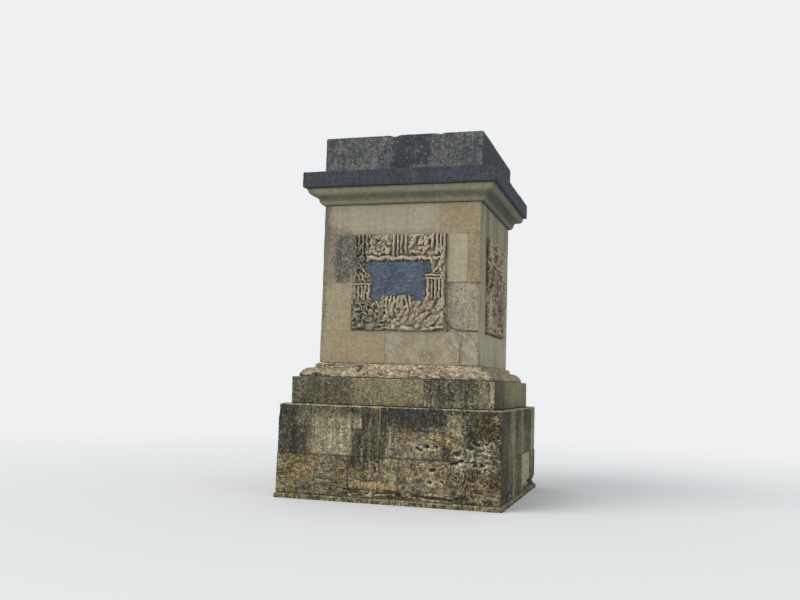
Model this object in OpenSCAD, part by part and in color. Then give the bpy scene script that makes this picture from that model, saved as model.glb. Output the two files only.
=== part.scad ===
// Square pedestal of a memorial obelisk that has lost its shaft. It stands on a
// footing and has a tall base in two courses, a step, a weathered moulding, a
// plumb die with a carved panel on each side, a moulded cornice with a broad
// corona, and the first course above that. Millimetres, ground at z = 0. The
// front, which has the slate tablet, faces -Y, and the sides are turned copies.
// Left and right stones are named as seen by someone who faces that side.

/* [Footing] */
// How far the footing stands out past the base
footing_out = 30; // [10:5:60]
// Height of the footing above the ground
footing_h = 75; // [40:5:150]

/* [Base] */
// Width of the base over its upper course
base_w = 3230; // [3130:10:3400]
// How far the lower course swells past the upper one
base_swell = 5; // [2:1:30]
// Height of the lower course
base_lower_h = 555; // [480:5:700]
// Height of the upper course
base_upper_h = 707; // [600:5:850]
// How deep the base stones reach into the wall
base_bed = 500; // [400:10:600]
// Lower course, front: left joint from the middle
base_lower_front_left = -540; // [-800:10:-300]
// Lower course, front: right joint from the middle
base_lower_front_right = 190; // [0:10:500]
// Lower course, sides: left joint from the middle
base_lower_side_left = -430; // [-800:10:-200]
// Lower course, sides: right joint from the middle
base_lower_side_right = 302; // [0:2:600]
// Upper course, front: left joint from the middle
base_upper_front_left = -352; // [-450:2:-200]
// Upper course, front: right joint from the middle
base_upper_front_right = 35; // [-50:5:300]
// Upper course, sides: left joint from the middle
base_upper_side_left = -430; // [-600:10:-100]
// Upper course, sides: right joint from the middle
base_upper_side_right = 440; // [200:5:700]
// Height of the half-height stones in the upper course
half_stone_h = 375; // [250:5:450]
// How far the front half-height stone stops short of the stone above it
half_stone_back = 135; // [60:5:250]

/* [Step] */
// Width of the step
step_w = 2984; // [2880:2:3060]
// Height of the step
step_h = 388; // [300:4:480]
// How deep the step's stones reach into the wall
step_bed = 480; // [400:10:500]
// Front joint from the middle
step_front_joint = 495; // [200:5:800]
// Side joint from the middle
step_side_joint = 70; // [-300:10:400]

/* [Base moulding] */
// Radius of the half-round swelling
swelling_r = 132; // [110:2:140]
// Height of the flat fillet on top of the swelling
swelling_fillet_h = 52; // [30:2:80]
// How far the fillet stands out past the die
swelling_fillet_out = 56; // [30:2:80]
// How far the swelling springs out past the fillet
swelling_out = 34; // [10:2:60]
// Rise of the weathered slope above the fillet
weathering_h = 26; // [10:2:60]
// Front: left joint from the middle
moulding_front_left = -525; // [-800:5:-200]
// Front: right joint from the middle
moulding_front_right = 324; // [100:2:700]
// Sides: left joint from the middle
moulding_side_left = -380; // [-700:10:-100]
// Sides: right joint from the middle
moulding_side_right = 460; // [200:10:800]

/* [Die] */
// Width of the plumb die
die_w = 2380; // [2300:10:2460]
// Height of the first course
die_first_h = 470; // [400:5:560]
// Height of the second course, which holds the lower half of each panel
die_second_h = 710; // [660:5:800]
// Height of the third course, which holds the upper half of each panel
die_third_h = 705; // [660:5:800]
// Height of the fourth course
die_fourth_h = 452; // [380:4:560]
// Depth of the stones in the first and fourth courses
die_bed = 240; // [200:10:280]
// Depth of the stones in the second course
die_second_bed = 300; // [250:10:340]
// Depth of the stones in the third course
die_third_bed = 180; // [150:5:220]
// First course, front joint from the middle
die_first_front_joint = -190; // [-500:10:200]
// First course, side joint from the middle
die_first_side_joint = 240; // [-200:10:500]
// Fourth course, front joint from the middle
die_fourth_front_joint = 605; // [300:5:750]
// Fourth course, side joint from the middle
die_fourth_side_joint = -170; // [-500:10:300]

/* [Carved panels] */
// Left edge of each panel from the middle
panel_left = -720; // [-760:5:-640]
// Right edge of each panel from the middle
panel_right = 715; // [640:5:760]
// How far the carving stands out from the die
carving_out = 70; // [40:5:90]
// Depth of the tablet's seat behind the top of the carving
seat_depth = 62; // [30:2:80]
// Clearance round the tablet in its seat
tablet_gap = 3; // [1:0.5:6]

/* [Tablets] */
// Thickness of a tablet
tablet_t = 24; // [12:2:30]
// Half of the tablet's width over its ears
tablet_ear_half = 475; // [430:5:520]
// Half of the tablet's width below its ears
tablet_body_half = 400; // [330:5:420]
// Half of the width of the notch in its lower edge
tablet_notch_half = 240; // [160:5:300]
// From the bed joint behind the tablet up to its top
tablet_rise = 300; // [240:5:380]
// Height of the ears
tablet_ear_h = 165; // [120:5:200]
// From the bed joint behind the tablet down to its feet
tablet_drop = 275; // [220:5:340]
// Height of the notch
tablet_notch_h = 83; // [50:1:120]

/* [Carving] */
// Ground between the carved forms, in front of the die's face
carving_ground = 36; // [30:1:40]
// Radius of the largest carved lumps, the roots and the roll along the foot
root_r = 38; // [30:1:38]
// Radius of the lumps in the streams and leaves
leaf_r = 24; // [18:1:28]
// Length of a leaf, a root or a strand of the rope, between the middles of its round ends
lump_l = 90; // [60:2:110]
// Radius of a reed
reed_r = 20; // [14:1:23]
// From one reed to the next
reed_pitch = 57; // [52:1:60]
// Height of the reeds at the top of the panel
reed_h = 255; // [200:5:290]
// Height of the reeds beside the notch of the tablet
low_reed_h = 195; // [150:5:220]
// Radius of the strand of a curl
strand_r = 17; // [12:1:20]
// Radius of a curl, to the middle of its strand
curl_r = 42; // [34:1:48]
// Gap between two curls
curl_gap = 4; // [2:1:8]
// Radius of the strands of the rope over the tablet
rope_r = 27; // [20:1:32]
// Radius of the fillets beside the tablet
fillet_r = 18; // [12:1:22]

/* [Cornice] */
// Radius of the bead at the foot
bead_r = 58; // [40:2:66]
// Small soffit between the die and the bead
bead_out = 6; // [2:1:12]
// Height of the fillet above the bead
bead_fillet_h = 12; // [6:1:20]
// How far that fillet stands out past the bead
bead_fillet_out = 8; // [2:1:12]
// Radius of the hollow
hollow_r = 60; // [40:2:70]
// Radius of the ovolo
ovolo_r = 74; // [50:2:84]
// Height of the top fillet
top_fillet_h = 27; // [14:1:40]
// How far the top fillet stands out past the ovolo
top_fillet_out = 6; // [2:1:12]
// Depth of the stones behind the die's face
cornice_bed = 300; // [240:10:360]
// Front: left joint from the middle
cornice_front_left = -430; // [-700:10:-200]
// Front: right joint from the middle
cornice_front_right = 520; // [200:10:800]
// Sides: left joint from the middle
cornice_side_left = -360; // [-700:10:-100]
// Sides: right joint from the middle
cornice_side_right = 400; // [200:10:800]

/* [Corona] */
// How far the corona stands out past the moulding below it
corona_out = 57; // [20:1:90]
// Height of the corona
corona_h = 240; // [180:5:300]
// Front: left joint from the middle
corona_front_left = -610; // [-800:10:-300]
// Front: right joint from the middle
corona_front_right = 250; // [0:10:600]
// Sides: left joint from the middle
corona_side_left = -200; // [-600:10:-50]
// Sides: right joint from the middle
corona_side_right = 640; // [300:10:800]

/* [Top course] */
// Width of the top course
top_w = 2414; // [2340:2:2500]
// Height of the top course
top_h = 563; // [480:1:640]
// Depth of its stones
top_bed = 400; // [300:10:500]
// Front: left joint from the middle
top_front_left = -145; // [-500:5:100]
// Front: right joint from the middle
top_front_right = 570; // [200:5:750]
// Sides: left joint from the middle
top_side_left = -330; // [-700:10:-100]
// Sides: right joint from the middle
top_side_right = 330; // [100:10:700]
// Thickness of the slab that beds the missing shaft
shaft_bed_h = 180; // [100:10:300]

/* [Hidden] */
$fn = 64;

// Places of a stone in its course
LEFT = 0;
MIDDLE = 1;
RIGHT = 2;
// Sides by quarter turns from the front
FRONT = 0;
EAST = 1;
BACK = 2;
WEST = 3;
ALL_SIDES = [FRONT, EAST, BACK, WEST];
// Which corners the front stones of a course run out to: left, right
BOTH = [true, true];
LEFT_ONLY = [true, false];
RIGHT_ONLY = [false, true];

// Half-widths
base_half = base_w / 2;
base_lower_half = base_half + base_swell;
footing_half = base_lower_half + footing_out;
step_half = step_w / 2;
die_half = die_w / 2;
fillet_half = die_half + swelling_fillet_out;
swelling_foot = fillet_half + swelling_out;
moulding_half = swelling_foot + swelling_r;
bead_half = die_half + bead_out + bead_r + bead_fillet_out;
ovolo_foot = bead_half + hollow_r;
cornice_half = ovolo_foot + ovolo_r + top_fillet_out;
corona_half = cornice_half + corona_out;
top_half = top_w / 2;
core_half = die_half - cornice_bed;
top_core_half = top_half - top_bed;

// Heights of the courses
swelling_h = swelling_r + swelling_fillet_h;
moulding_h = swelling_h + weathering_h;
hollow_z = bead_r + bead_fillet_h;
ovolo_z = hollow_z + hollow_r;
top_fillet_z = ovolo_z + ovolo_r;
cornice_h = top_fillet_z + top_fillet_h;

// Bed joints from the ground up
base_lower_z = footing_h;
base_upper_z = base_lower_z + base_lower_h;
step_z = base_upper_z + base_upper_h;
moulding_z = step_z + step_h;
die_first_z = moulding_z + moulding_h;
die_second_z = die_first_z + die_first_h;
die_third_z = die_second_z + die_second_h;
die_fourth_z = die_third_z + die_third_h;
cornice_z = die_fourth_z + die_fourth_h;
corona_z = cornice_z + cornice_h;
top_z = corona_z + corona_h;
total_h = top_z + top_h;
shaft_bed_z = total_h - shaft_bed_h;

// Depth of the moulded courses, from their widest line to the core
moulding_bed = moulding_half - core_half;
cornice_depth = cornice_half - core_half;
corona_bed = corona_half - core_half;

// Upright joints, front and back first, then the other two sides
base_lower_joints = [[base_lower_front_left, base_lower_front_right],
    [base_lower_side_left, base_lower_side_right]];
base_upper_joints = [[base_upper_front_left, base_upper_front_right],
    [base_upper_side_left, base_upper_side_right]];
step_joints = [[step_front_joint], [step_side_joint]];
moulding_joints = [[moulding_front_left, moulding_front_right],
    [moulding_side_left, moulding_side_right]];
die_first_joints = [[die_first_front_joint], [die_first_side_joint]];
half_stone_end = base_upper_front_left - half_stone_back;
panel_joints = [[panel_left, panel_right], [panel_left, panel_right]];
die_fourth_joints = [[die_fourth_front_joint], [die_fourth_side_joint]];
cornice_joints = [[cornice_front_left, cornice_front_right],
    [cornice_side_left, cornice_side_right]];
corona_joints = [[corona_front_left, corona_front_right],
    [corona_side_left, corona_side_right]];
top_joints = [[top_front_left, top_front_right], [top_side_left, top_side_right]];

// True when a side's stones run out to its left or right corner. A corner is
// covered by one of its two sides, so the sides take what the front leaves.
function runs_left(side, corners) = side % 2 == 0 ? corners[0] : !corners[1];
function runs_right(side, corners) = side % 2 == 0 ? corners[1] : !corners[0];

// Every upright joint along a side, with both ends of its run
function stops(side, half, bed, corners, joints) = concat(
    [runs_left(side, corners) ? -half : bed - half],
    joints[side % 2],
    [runs_right(side, corners) ? half : half - bed]);

// Turns a shape made at the front round to another side
module on_side(side) {
    rotate([0, 0, 90 * side]) children();
}

// A squared stone of the front: from, to, face, depth, bed joint and height
module block(from, to, half, bed, z, h) {
    translate([from, -half, z]) cube([to - from, bed, h]);
}

// The stones at one place of a course, one on each side
module course(place, half, bed, z, h, corners, joints, sides = ALL_SIDES) {
    for (side = sides) {
        at = stops(side, half, bed, corners, joints);
        on_side(side) block(at[place], at[place + 1], half, bed, z, h);
    }
}

// A square block whose half-width follows the outline given as its child
module moulded_mass(half) {
    intersection_for (turn = [0, 90]) {
        rotate([90, 0, turn]) linear_extrude(height = 2 * half, center = true) {
            children();
            mirror([1, 0]) children();
        }
    }
}

// Quarter-round that swells outwards as it rises, its foot at the origin
module ovolo(r) {
    intersection() {
        translate([0, r]) circle(r);
        square(r);
    }
}

// Hollow that leans outwards as it rises, its foot at the origin
module hollow(r) {
    difference() {
        square(r);
        translate([r, 0]) circle(r);
    }
}

// Outline of the base moulding: swelling, fillet and weathered slope
module moulding_outline() {
    square([swelling_foot, swelling_r]);
    translate([swelling_foot, 0]) intersection() {
        circle(swelling_r);
        square(swelling_r);
    }
    square([fillet_half, swelling_h]);
    polygon([[0, swelling_h], [fillet_half, swelling_h], [die_half, moulding_h], [0, moulding_h]]);
}

// Outline of the cornice moulding: bead, fillet, hollow, ovolo and top fillet
module cornice_outline() {
    square([die_half + bead_out, cornice_h]);
    translate([die_half + bead_out, 0]) ovolo(bead_r);
    translate([0, bead_r]) square([die_half + bead_out + bead_r, cornice_h - bead_r]);
    translate([0, bead_r]) square([bead_half, cornice_h - bead_r]);
    translate([bead_half, hollow_z]) hollow(hollow_r);
    translate([0, ovolo_z]) square([ovolo_foot, cornice_h - ovolo_z]);
    translate([ovolo_foot, ovolo_z]) ovolo(ovolo_r);
    translate([0, top_fillet_z]) square([cornice_half, top_fillet_h]);
}

// Stones of the base moulding at one place
module moulding_stones(place) {
    intersection() {
        translate([0, 0, moulding_z]) moulded_mass(moulding_half) moulding_outline();
        course(place, moulding_half, moulding_bed, moulding_z, moulding_h, BOTH, moulding_joints);
    }
}

// Stones of the cornice moulding at one place
module cornice_stones(place) {
    intersection() {
        translate([0, 0, cornice_z]) moulded_mass(cornice_half) cornice_outline();
        course(place, cornice_half, cornice_depth, cornice_z, cornice_h, BOTH, cornice_joints);
    }
}

// Eared tablet with a notch in its foot, flat, grown by a margin all round.
// Its heights count from the bed joint that passes behind it.
module tablet_outline(margin) {
    ear = tablet_ear_half + margin;
    body = tablet_body_half + margin;
    notch = tablet_notch_half - margin;
    top = tablet_rise + margin;
    shoulder = tablet_rise - tablet_ear_h - margin;
    foot = -tablet_drop - margin;
    notch_top = tablet_notch_h - tablet_drop - margin;
    difference() {
        translate([-ear, foot]) square([2 * ear, top - foot]);
        for (end = [-ear, body]) {
            translate([end, foot]) square([ear - body, shoulder - foot]);
        }
        translate([-notch, foot]) square([2 * notch, notch_top - foot]);
    }
}

// An outline stood upright at the front, facing out, from one depth to another
module upright(face, t) {
    translate([0, face + t, die_third_z]) rotate([90, 0, 0]) linear_extrude(height = t) children();
}

carving_face = -die_half - carving_out;
seat_face = carving_face + seat_depth;

// Middles of the two uprights of carving beside the tablet
stem_left = (panel_left - tablet_ear_half) / 2;
stem_right = (panel_right + tablet_ear_half) / 2;
// Heights in the carving, from the bed joint behind the tablet
panel_top = die_third_h;
panel_foot = -die_second_h;
rope_v = tablet_rise + 2 * rope_r;
notch_v = tablet_notch_h - tablet_drop;
leaf_v = notch_v - 2 * leaf_r;
roots_top = leaf_v - lump_l / 2 - 2 * leaf_r;

// Round-ended bar in the plane of the carving, turned from upright, its middle at u, v
module lump(u, v, turn, length, r) {
    translate([u, 0, v]) rotate([0, turn, 0]) rotate_extrude() intersection() {
        union() {
            for (end = [-length, length]) translate([0, end / 2]) circle(r);
            translate([-r, -length / 2]) square([2 * r, length]);
        }
        translate([0, -length / 2 - r]) square([r, length + 2 * r]);
    }
}

// Open ring with a knob in its eye
module curl(u, v, turn) {
    translate([u, 0, v]) rotate([90, turn, 0]) {
        rotate_extrude(angle = 290) translate([curl_r, 0]) circle(strand_r);
        sphere(0.8 * strand_r);
    }
}

// A bunch of upright reeds with round feet
module reeds(middle, count, top, h) {
    for (i = [0:count - 1]) {
        lump(middle + (i - (count - 1) / 2) * reed_pitch, top - h / 2, 0, h, reed_r);
    }
}

// Curls in rows and columns between two heights, each turned further than the last
module curls(middle, foot, top, columns, rows) {
    pitch = 2 * (curl_r + strand_r) + curl_gap;
    for (i = [0:columns - 1], k = [0:rows - 1]) {
        curl(middle + (i - (columns - 1) / 2) * pitch, foot + (k + 0.5) * (top - foot) / rows,
            80 * i + 150 * k);
    }
}

// Lumps in rows and columns between two sides and two heights, which lean one way and
// tumble about that lean. Each row is shifted by a third of a column from the last.
module tumble(from, to, foot, top, rows, columns, lean, swing, r) {
    pitch = (to - from) / columns;
    row_h = (top - foot) / rows;
    for (k = [0:rows - 1], i = [0:columns - 1]) {
        lump(from + (i + 0.5) * pitch + (k % 2 - 0.5) * pitch / 3, foot + (k + 0.5) * row_h,
            lean + swing * sin(137 * i + 79 * k), lump_l, r);
    }
}

// Carving of the upper stone: reeds, curls and streams over a rope, curls beside it
module carving_upper() {
    reeds(stem_left, 4, panel_top, reed_h);
    reeds(0, 4, panel_top, reed_h);
    reeds(stem_right, 4, panel_top, reed_h);
    curls(-tablet_ear_half / 2 - reed_pitch, rope_v + rope_r, panel_top, 3, 2);
    tumble(2.5 * reed_pitch, tablet_ear_half, rope_v + rope_r, panel_top, 3, 4, 45, 25, leaf_r);
    tumble(-tablet_ear_half, tablet_ear_half, rope_v - rope_r, rope_v + rope_r, 1, 11,
        68, 8, rope_r);
    curls(stem_left, fillet_r, panel_top - reed_h - reed_r, 1, 3);
    curls(stem_right, 6 * fillet_r, panel_top - reed_h - reed_r, 1, 2);
    for (k = [0, 1]) {
        lump((panel_right + tablet_body_half) / 2, (2 + 2.4 * k) * fillet_r, 90,
            panel_right - tablet_body_half - 4 * fillet_r, fillet_r);
    }
}

// Carving of the lower stone: reeds beside the tablet, leaves that fan out under its
// notch, roots that tumble below them, and a heavy roll along the foot
module carving_lower() {
    for (middle = [stem_left, stem_right]) {
        reeds(middle, 4, -4 * fillet_r, low_reed_h);
        lump(middle, -1.5 * fillet_r, 90, panel_right - tablet_ear_half - 3 * fillet_r, fillet_r);
    }
    for (i = [-4:4]) {
        lump(i * reed_pitch, leaf_v, -5 * i, lump_l, leaf_r);
    }
    tumble(panel_left, panel_right, panel_foot + 2 * root_r, roots_top, 3, 11,
        50, 60, (leaf_r + root_r) / 2);
    tumble(panel_left, panel_right, panel_foot, panel_foot + 2 * root_r, 1, 10, 90, 18, root_r);
}

// Half of a carved panel, lower or upper, with its part of the tablet's seat. The
// axes of all its forms lie in one plane, and the largest reach the carving's face.
module panel_stone(z, h, bed) {
    difference() {
        intersection() {
            block(panel_left, panel_right, die_half + carving_out, bed + carving_out, z, h);
            union() {
                block(panel_left, panel_right, die_half + carving_ground, bed + carving_ground, z, h);
                translate([0, carving_face + root_r, die_third_z]) children();
            }
        }
        upright(carving_face, seat_depth) tablet_outline(tablet_gap);
    }
}

module panel_lower(side) {
    color("burlywood") on_side(side) panel_stone(die_second_z, die_second_h, die_second_bed)
        carving_lower($fn = 24);
}

module panel_upper(side) {
    color("burlywood") on_side(side) panel_stone(die_third_z, die_third_h, die_third_bed)
        carving_upper($fn = 24);
}

module tablet(side) {
    on_side(side) upright(seat_face - tablet_t, tablet_t) tablet_outline(0);
}

module footing_course() {
    color("wheat") translate([-footing_half, -footing_half, 0])
        cube([2 * footing_half, 2 * footing_half, footing_h]);
}

// One square layer of the core
module core_layer(half, z, h) {
    translate([-half, -half, z]) cube([2 * half, 2 * half, h]);
}

// Rubble and mortar that fill the space behind the stones
module rubble_core() {
    color("tan") {
        core_layer(base_lower_half - base_bed - base_swell, base_lower_z, base_lower_h + base_upper_h);
        core_layer(step_half - step_bed, step_z, step_h);
        core_layer(core_half, moulding_z, moulding_h);
        core_layer(die_half - die_bed, die_first_z, die_first_h);
        core_layer(die_half - die_second_bed, die_second_z, die_second_h);
        core_layer(die_half - die_third_bed, die_third_z, die_third_h);
        core_layer(die_half - die_bed, die_fourth_z, die_fourth_h);
        core_layer(core_half, cornice_z, cornice_h + corona_h);
        core_layer(top_core_half, top_z, top_h - shaft_bed_h);
    }
}

module shaft_bed() {
    color("dimgray") core_layer(top_core_half, shaft_bed_z, shaft_bed_h);
}

module base_lower_stones(place) {
    color("darkkhaki") course(place, base_lower_half, base_bed + base_swell,
        base_lower_z, base_lower_h, BOTH, base_lower_joints);
}

// Corner stones of the upper course that have a half-height stone below them
module base_corner_stones(place, sides) {
    course(place, base_half, base_bed, base_upper_z + half_stone_h,
        base_upper_h - half_stone_h, RIGHT_ONLY, base_upper_joints, sides);
}

module base_upper_left_stones() {
    color("gray") {
        base_corner_stones(LEFT, [FRONT, BACK]);
        course(LEFT, base_half, base_bed, base_upper_z, base_upper_h,
            RIGHT_ONLY, base_upper_joints, [EAST, WEST]);
    }
}

// The front and back middle stones reach down beside the half-height stones
module base_upper_middle_stones() {
    color("darkgray") {
        course(MIDDLE, base_half, base_bed, base_upper_z, base_upper_h,
            RIGHT_ONLY, base_upper_joints);
        for (side = [FRONT, BACK]) {
            on_side(side) block(half_stone_end, half_stone_end + half_stone_back,
                base_half, base_bed, base_upper_z, half_stone_h);
        }
    }
}

module base_upper_right_stones() {
    color("gray") {
        course(RIGHT, base_half, base_bed, base_upper_z, base_upper_h,
            RIGHT_ONLY, base_upper_joints, [FRONT, BACK]);
        base_corner_stones(RIGHT, [EAST, WEST]);
    }
}

// A half-height stone of the upper course on each of two sides
module half_stones(from, to, sides) {
    color("darkkhaki") for (side = sides) {
        on_side(side) block(from, to, base_half, base_bed, base_upper_z, half_stone_h);
    }
}

module base_front_half_stones() {
    half_stones(base_bed - base_half, half_stone_end, [FRONT, BACK]);
}

module base_side_half_stones() {
    half_stones(base_upper_side_right, base_half, [EAST, WEST]);
}

module step_stones(place) {
    color("darkolivegreen") course(place, step_half, step_bed, step_z, step_h, BOTH, step_joints);
}

module die_first_stones(place) {
    color("navajowhite") course(place, die_half, die_bed, die_first_z, die_first_h,
        LEFT_ONLY, die_first_joints);
}

module die_second_stones(place) {
    color("tan") course(place, die_half, die_second_bed, die_second_z, die_second_h,
        BOTH, panel_joints);
}

module die_third_stones(place) {
    color("navajowhite") course(place, die_half, die_third_bed, die_third_z, die_third_h,
        LEFT_ONLY, panel_joints);
}

module die_fourth_stones(place) {
    color("tan") course(place, die_half, die_bed, die_fourth_z, die_fourth_h,
        BOTH, die_fourth_joints);
}

module corona_stones(place) {
    color("dimgray") course(place, corona_half, corona_bed, corona_z, corona_h, BOTH, corona_joints);
}

module top_stones(place) {
    color("gray") course(place, top_half, top_bed, top_z, top_h, BOTH, top_joints);
}

footing_course();
rubble_core();
base_lower_stones(LEFT);  // base_lower_left_stones
base_lower_stones(MIDDLE);  // base_lower_middle_stones
base_lower_stones(RIGHT);  // base_lower_right_stones
base_front_half_stones();
base_side_half_stones();
base_upper_left_stones();
base_upper_middle_stones();
base_upper_right_stones();
step_stones(LEFT);  // step_left_stones
step_stones(MIDDLE);  // step_right_stones
color("wheat") moulding_stones(LEFT);  // moulding_left_stones
color("wheat") moulding_stones(MIDDLE);  // moulding_middle_stones
color("wheat") moulding_stones(RIGHT);  // moulding_right_stones
die_first_stones(LEFT);  // die_first_left_stones
die_first_stones(MIDDLE);  // die_first_right_stones
die_second_stones(LEFT);  // die_second_left_stones
die_second_stones(RIGHT);  // die_second_right_stones
die_third_stones(LEFT);  // die_third_left_stones
die_third_stones(RIGHT);  // die_third_right_stones
die_fourth_stones(LEFT);  // die_fourth_left_stones
die_fourth_stones(MIDDLE);  // die_fourth_right_stones
panel_lower(FRONT);  // front_panel_lower
panel_lower(EAST);  // right_panel_lower
panel_lower(BACK);  // back_panel_lower
panel_lower(WEST);  // left_panel_lower
panel_upper(FRONT);  // front_panel_upper
panel_upper(EAST);  // right_panel_upper
panel_upper(BACK);  // back_panel_upper
panel_upper(WEST);  // left_panel_upper
color("slategray") tablet(FRONT);  // front_tablet
color("khaki") tablet(EAST);  // right_tablet
color("khaki") tablet(BACK);  // back_tablet
color("khaki") tablet(WEST);  // left_tablet
color("beige") cornice_stones(LEFT);  // cornice_left_stones
color("beige") cornice_stones(MIDDLE);  // cornice_middle_stones
color("beige") cornice_stones(RIGHT);  // cornice_right_stones
corona_stones(LEFT);  // corona_left_stones
corona_stones(MIDDLE);  // corona_middle_stones
corona_stones(RIGHT);  // corona_right_stones
top_stones(LEFT);  // top_left_stones
top_stones(MIDDLE);  // top_middle_stones
top_stones(RIGHT);  // top_right_stones
shaft_bed();
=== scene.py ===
"""Looks of a weathered limestone pedestal: each stone of the frame is made again
as a worn surface with open joints, the panels get their carving, and every
surface gets its own crust, lichen and stains."""
import math
from types import SimpleNamespace

import bpy
import numpy as np
from mathutils import Matrix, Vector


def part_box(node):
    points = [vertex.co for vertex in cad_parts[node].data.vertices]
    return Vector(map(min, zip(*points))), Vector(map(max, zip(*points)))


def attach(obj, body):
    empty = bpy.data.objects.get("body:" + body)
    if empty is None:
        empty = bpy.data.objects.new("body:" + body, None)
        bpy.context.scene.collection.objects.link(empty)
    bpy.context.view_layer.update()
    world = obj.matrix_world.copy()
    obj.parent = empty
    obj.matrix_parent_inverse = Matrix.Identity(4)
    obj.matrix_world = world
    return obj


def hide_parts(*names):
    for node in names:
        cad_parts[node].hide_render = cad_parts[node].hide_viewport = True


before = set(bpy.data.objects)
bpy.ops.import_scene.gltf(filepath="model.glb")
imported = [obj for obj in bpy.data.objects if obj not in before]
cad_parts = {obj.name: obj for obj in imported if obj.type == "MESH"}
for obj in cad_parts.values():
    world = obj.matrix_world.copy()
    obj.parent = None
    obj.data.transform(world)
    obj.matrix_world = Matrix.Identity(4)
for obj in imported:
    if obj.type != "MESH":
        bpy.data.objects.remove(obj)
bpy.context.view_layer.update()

# Half-widths that the frame gives, in metres


def half_width(node):
    """Half of a square course's width."""
    return float(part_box(node)[1].x)


FOOTING = half_width("footing_course")
BASE_LOWER = half_width("base_lower_left_stones")
BASE = half_width("base_upper_left_stones")
STEP = half_width("step_left_stones")
SWELLING = half_width("moulding_left_stones")
DIE = half_width("die_first_left_stones")
CORNICE = half_width("cornice_left_stones")
CORONA = half_width("corona_left_stones")
TOP = half_width("top_left_stones")
SHAFT_BED = half_width("shaft_bed")

# Heights that it gives
UPPER_BED_Z = float(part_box("base_upper_left_stones")[0].z)
PANEL_JOINT_Z = float(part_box("front_panel_upper")[0].z)
CORNICE_Z = float(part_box("cornice_left_stones")[0].z)
TOP_Z = float(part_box("top_left_stones")[1].z)

# Radii and steps of the two mouldings
SWELLING_R = 0.132
SWELLING_FILLET = 0.052
SWELLING_SHELF = 0.034
BEAD_R = 0.058
BEAD_OUT = 0.006
BEAD_FILLET = 0.012
BEAD_FILLET_OUT = 0.008
HOLLOW_R = 0.060
OVOLO_R = 0.074

# Spacing of the points on their round stretches and on their straight ones
MOULDING_SPACING = (0.012, 0.013)
CORNICE_SPACING = (0.011, 0.012)

# The stepped joint in the base: its upper line, its height and its lower line
STEPPED_U = -0.352
STEPPED_Z = 1.005
HALF_END_U = -0.487

# Front joint of the step, and where the last stone of the die's first course has split
STEP_JOINT_U = 0.495
SPLIT_U = 0.920

# Half-width of the neighbour at a bed that is closed
CLOSED = 9

# Places this near are one place, and a joint or corner this far away has no effect
NEARLY = 0.001
FAR_AWAY = 9.0

# How far the first points lie from an arris in view, and from a closed joint
OPEN_GAP = 0.007
CLOSED_GAP = 0.0025

# How far a marked line lies from the ends of a run at least
MARK_ROOM = 0.02

# How far a surface runs on under its neighbour, and into the depth of its stone
BED_MARGIN = 0.02
BED_SHARE = 0.985

# How far the random surfaces of one stone are moved from those of the next
OWN_SHIFT = 0.31

# Outlines of stains, along and upwards: their reach, the size of their lobes and seeds
RAGGED_REACH = 0.12
RAGGED_SIZE = 0.16
RAGGED_SEEDS = (900, 920)

# Stains where a stone names none, and the most of each that a surface can show.
# Hollow among them is painted shade in holes, cracks, pits, gaps and recesses, and
# dark lines along some joints.
PLAIN = dict(hollow=0, seam=0, speck=0, runs=0.15, beds=0, calm=0)
MOST = dict(crust=1, warm=1, pale=1, moss=1, hollow=1, calm=0.85)

FRONT, EAST, BACK, WEST = range(4)

# How much further apart the points along a side lie where the photograph doesn't show it
FAR_SIDE_SPACING = (1.0, 1.0, 1.6, 1.6)
TANGENT = np.array([[1, 0, 0], [0, 1, 0], [-1, 0, 0], [0, -1, 0]], float)
OUTWARD = np.array([[0, -1, 0], [1, 0, 0], [0, 1, 0], [-1, 0, 0]], float)
UP = np.array([0, 0, 1.0])


def on_side(side, u, outward, z):
    """Points of one side from their places along it, outwards and upwards."""
    return u[..., None] * TANGENT[side] + outward[..., None] * OUTWARD[side] + z[..., None] * UP


# Random surfaces


def lattice(cell, seed):
    """Random value in 0..1 at each whole point: its three numbers are multiplied
    by large odd numbers, joined bit by bit and stirred twice."""
    x, y, z = (cell[..., k].astype(np.uint32) for k in range(3))
    mixed = x * np.uint32(73856093) ^ y * np.uint32(19349663) ^ z * np.uint32(83492791)
    mixed ^= np.uint32((seed * 668265263 + 374761393) & 0xFFFFFFFF)
    mixed = (mixed ^ (mixed >> np.uint32(13))) * np.uint32(1274126177)
    mixed = (mixed ^ (mixed >> np.uint32(16))) * np.uint32(2246822519)
    return ((mixed >> np.uint32(8)) & np.uint32(0xFFFF)) / 65535.0


def grain(points, size, seed):
    """Smooth random field in 0..1: lattice values one size apart, blended along
    each axis by 3t^2 - 2t^3."""
    q = points / np.asarray(size, float) + 7.31 * seed + 100.5
    cell = np.floor(q)
    part = q - cell
    part = part * part * (3 - 2 * part)
    cell = cell.astype(np.int64)
    total = np.zeros(points.shape[:-1])
    for corner in np.ndindex(2, 2, 2):
        weight = np.prod(np.where(corner, part, 1 - part), axis=-1)
        total += weight * lattice(cell + np.array(corner), seed)
    return total


def cloud(points, size, seed, layers=3, fade=0.5):
    """Sum of fields, each of half the size and `fade` of the weight, in 0..1."""
    total, weight, share = 0.0, 0.0, 1.0
    for layer in range(layers):
        total = total + share * grain(points, np.asarray(size, float) / 2**layer, seed + layer)
        weight += share
        share *= fade
    return total / weight


def drift(reach, points, size, seed, layers=3):
    """A cloud about 0, from minus to plus half of its reach."""
    return reach * (cloud(points, size, seed, layers) - 0.5)


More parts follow.
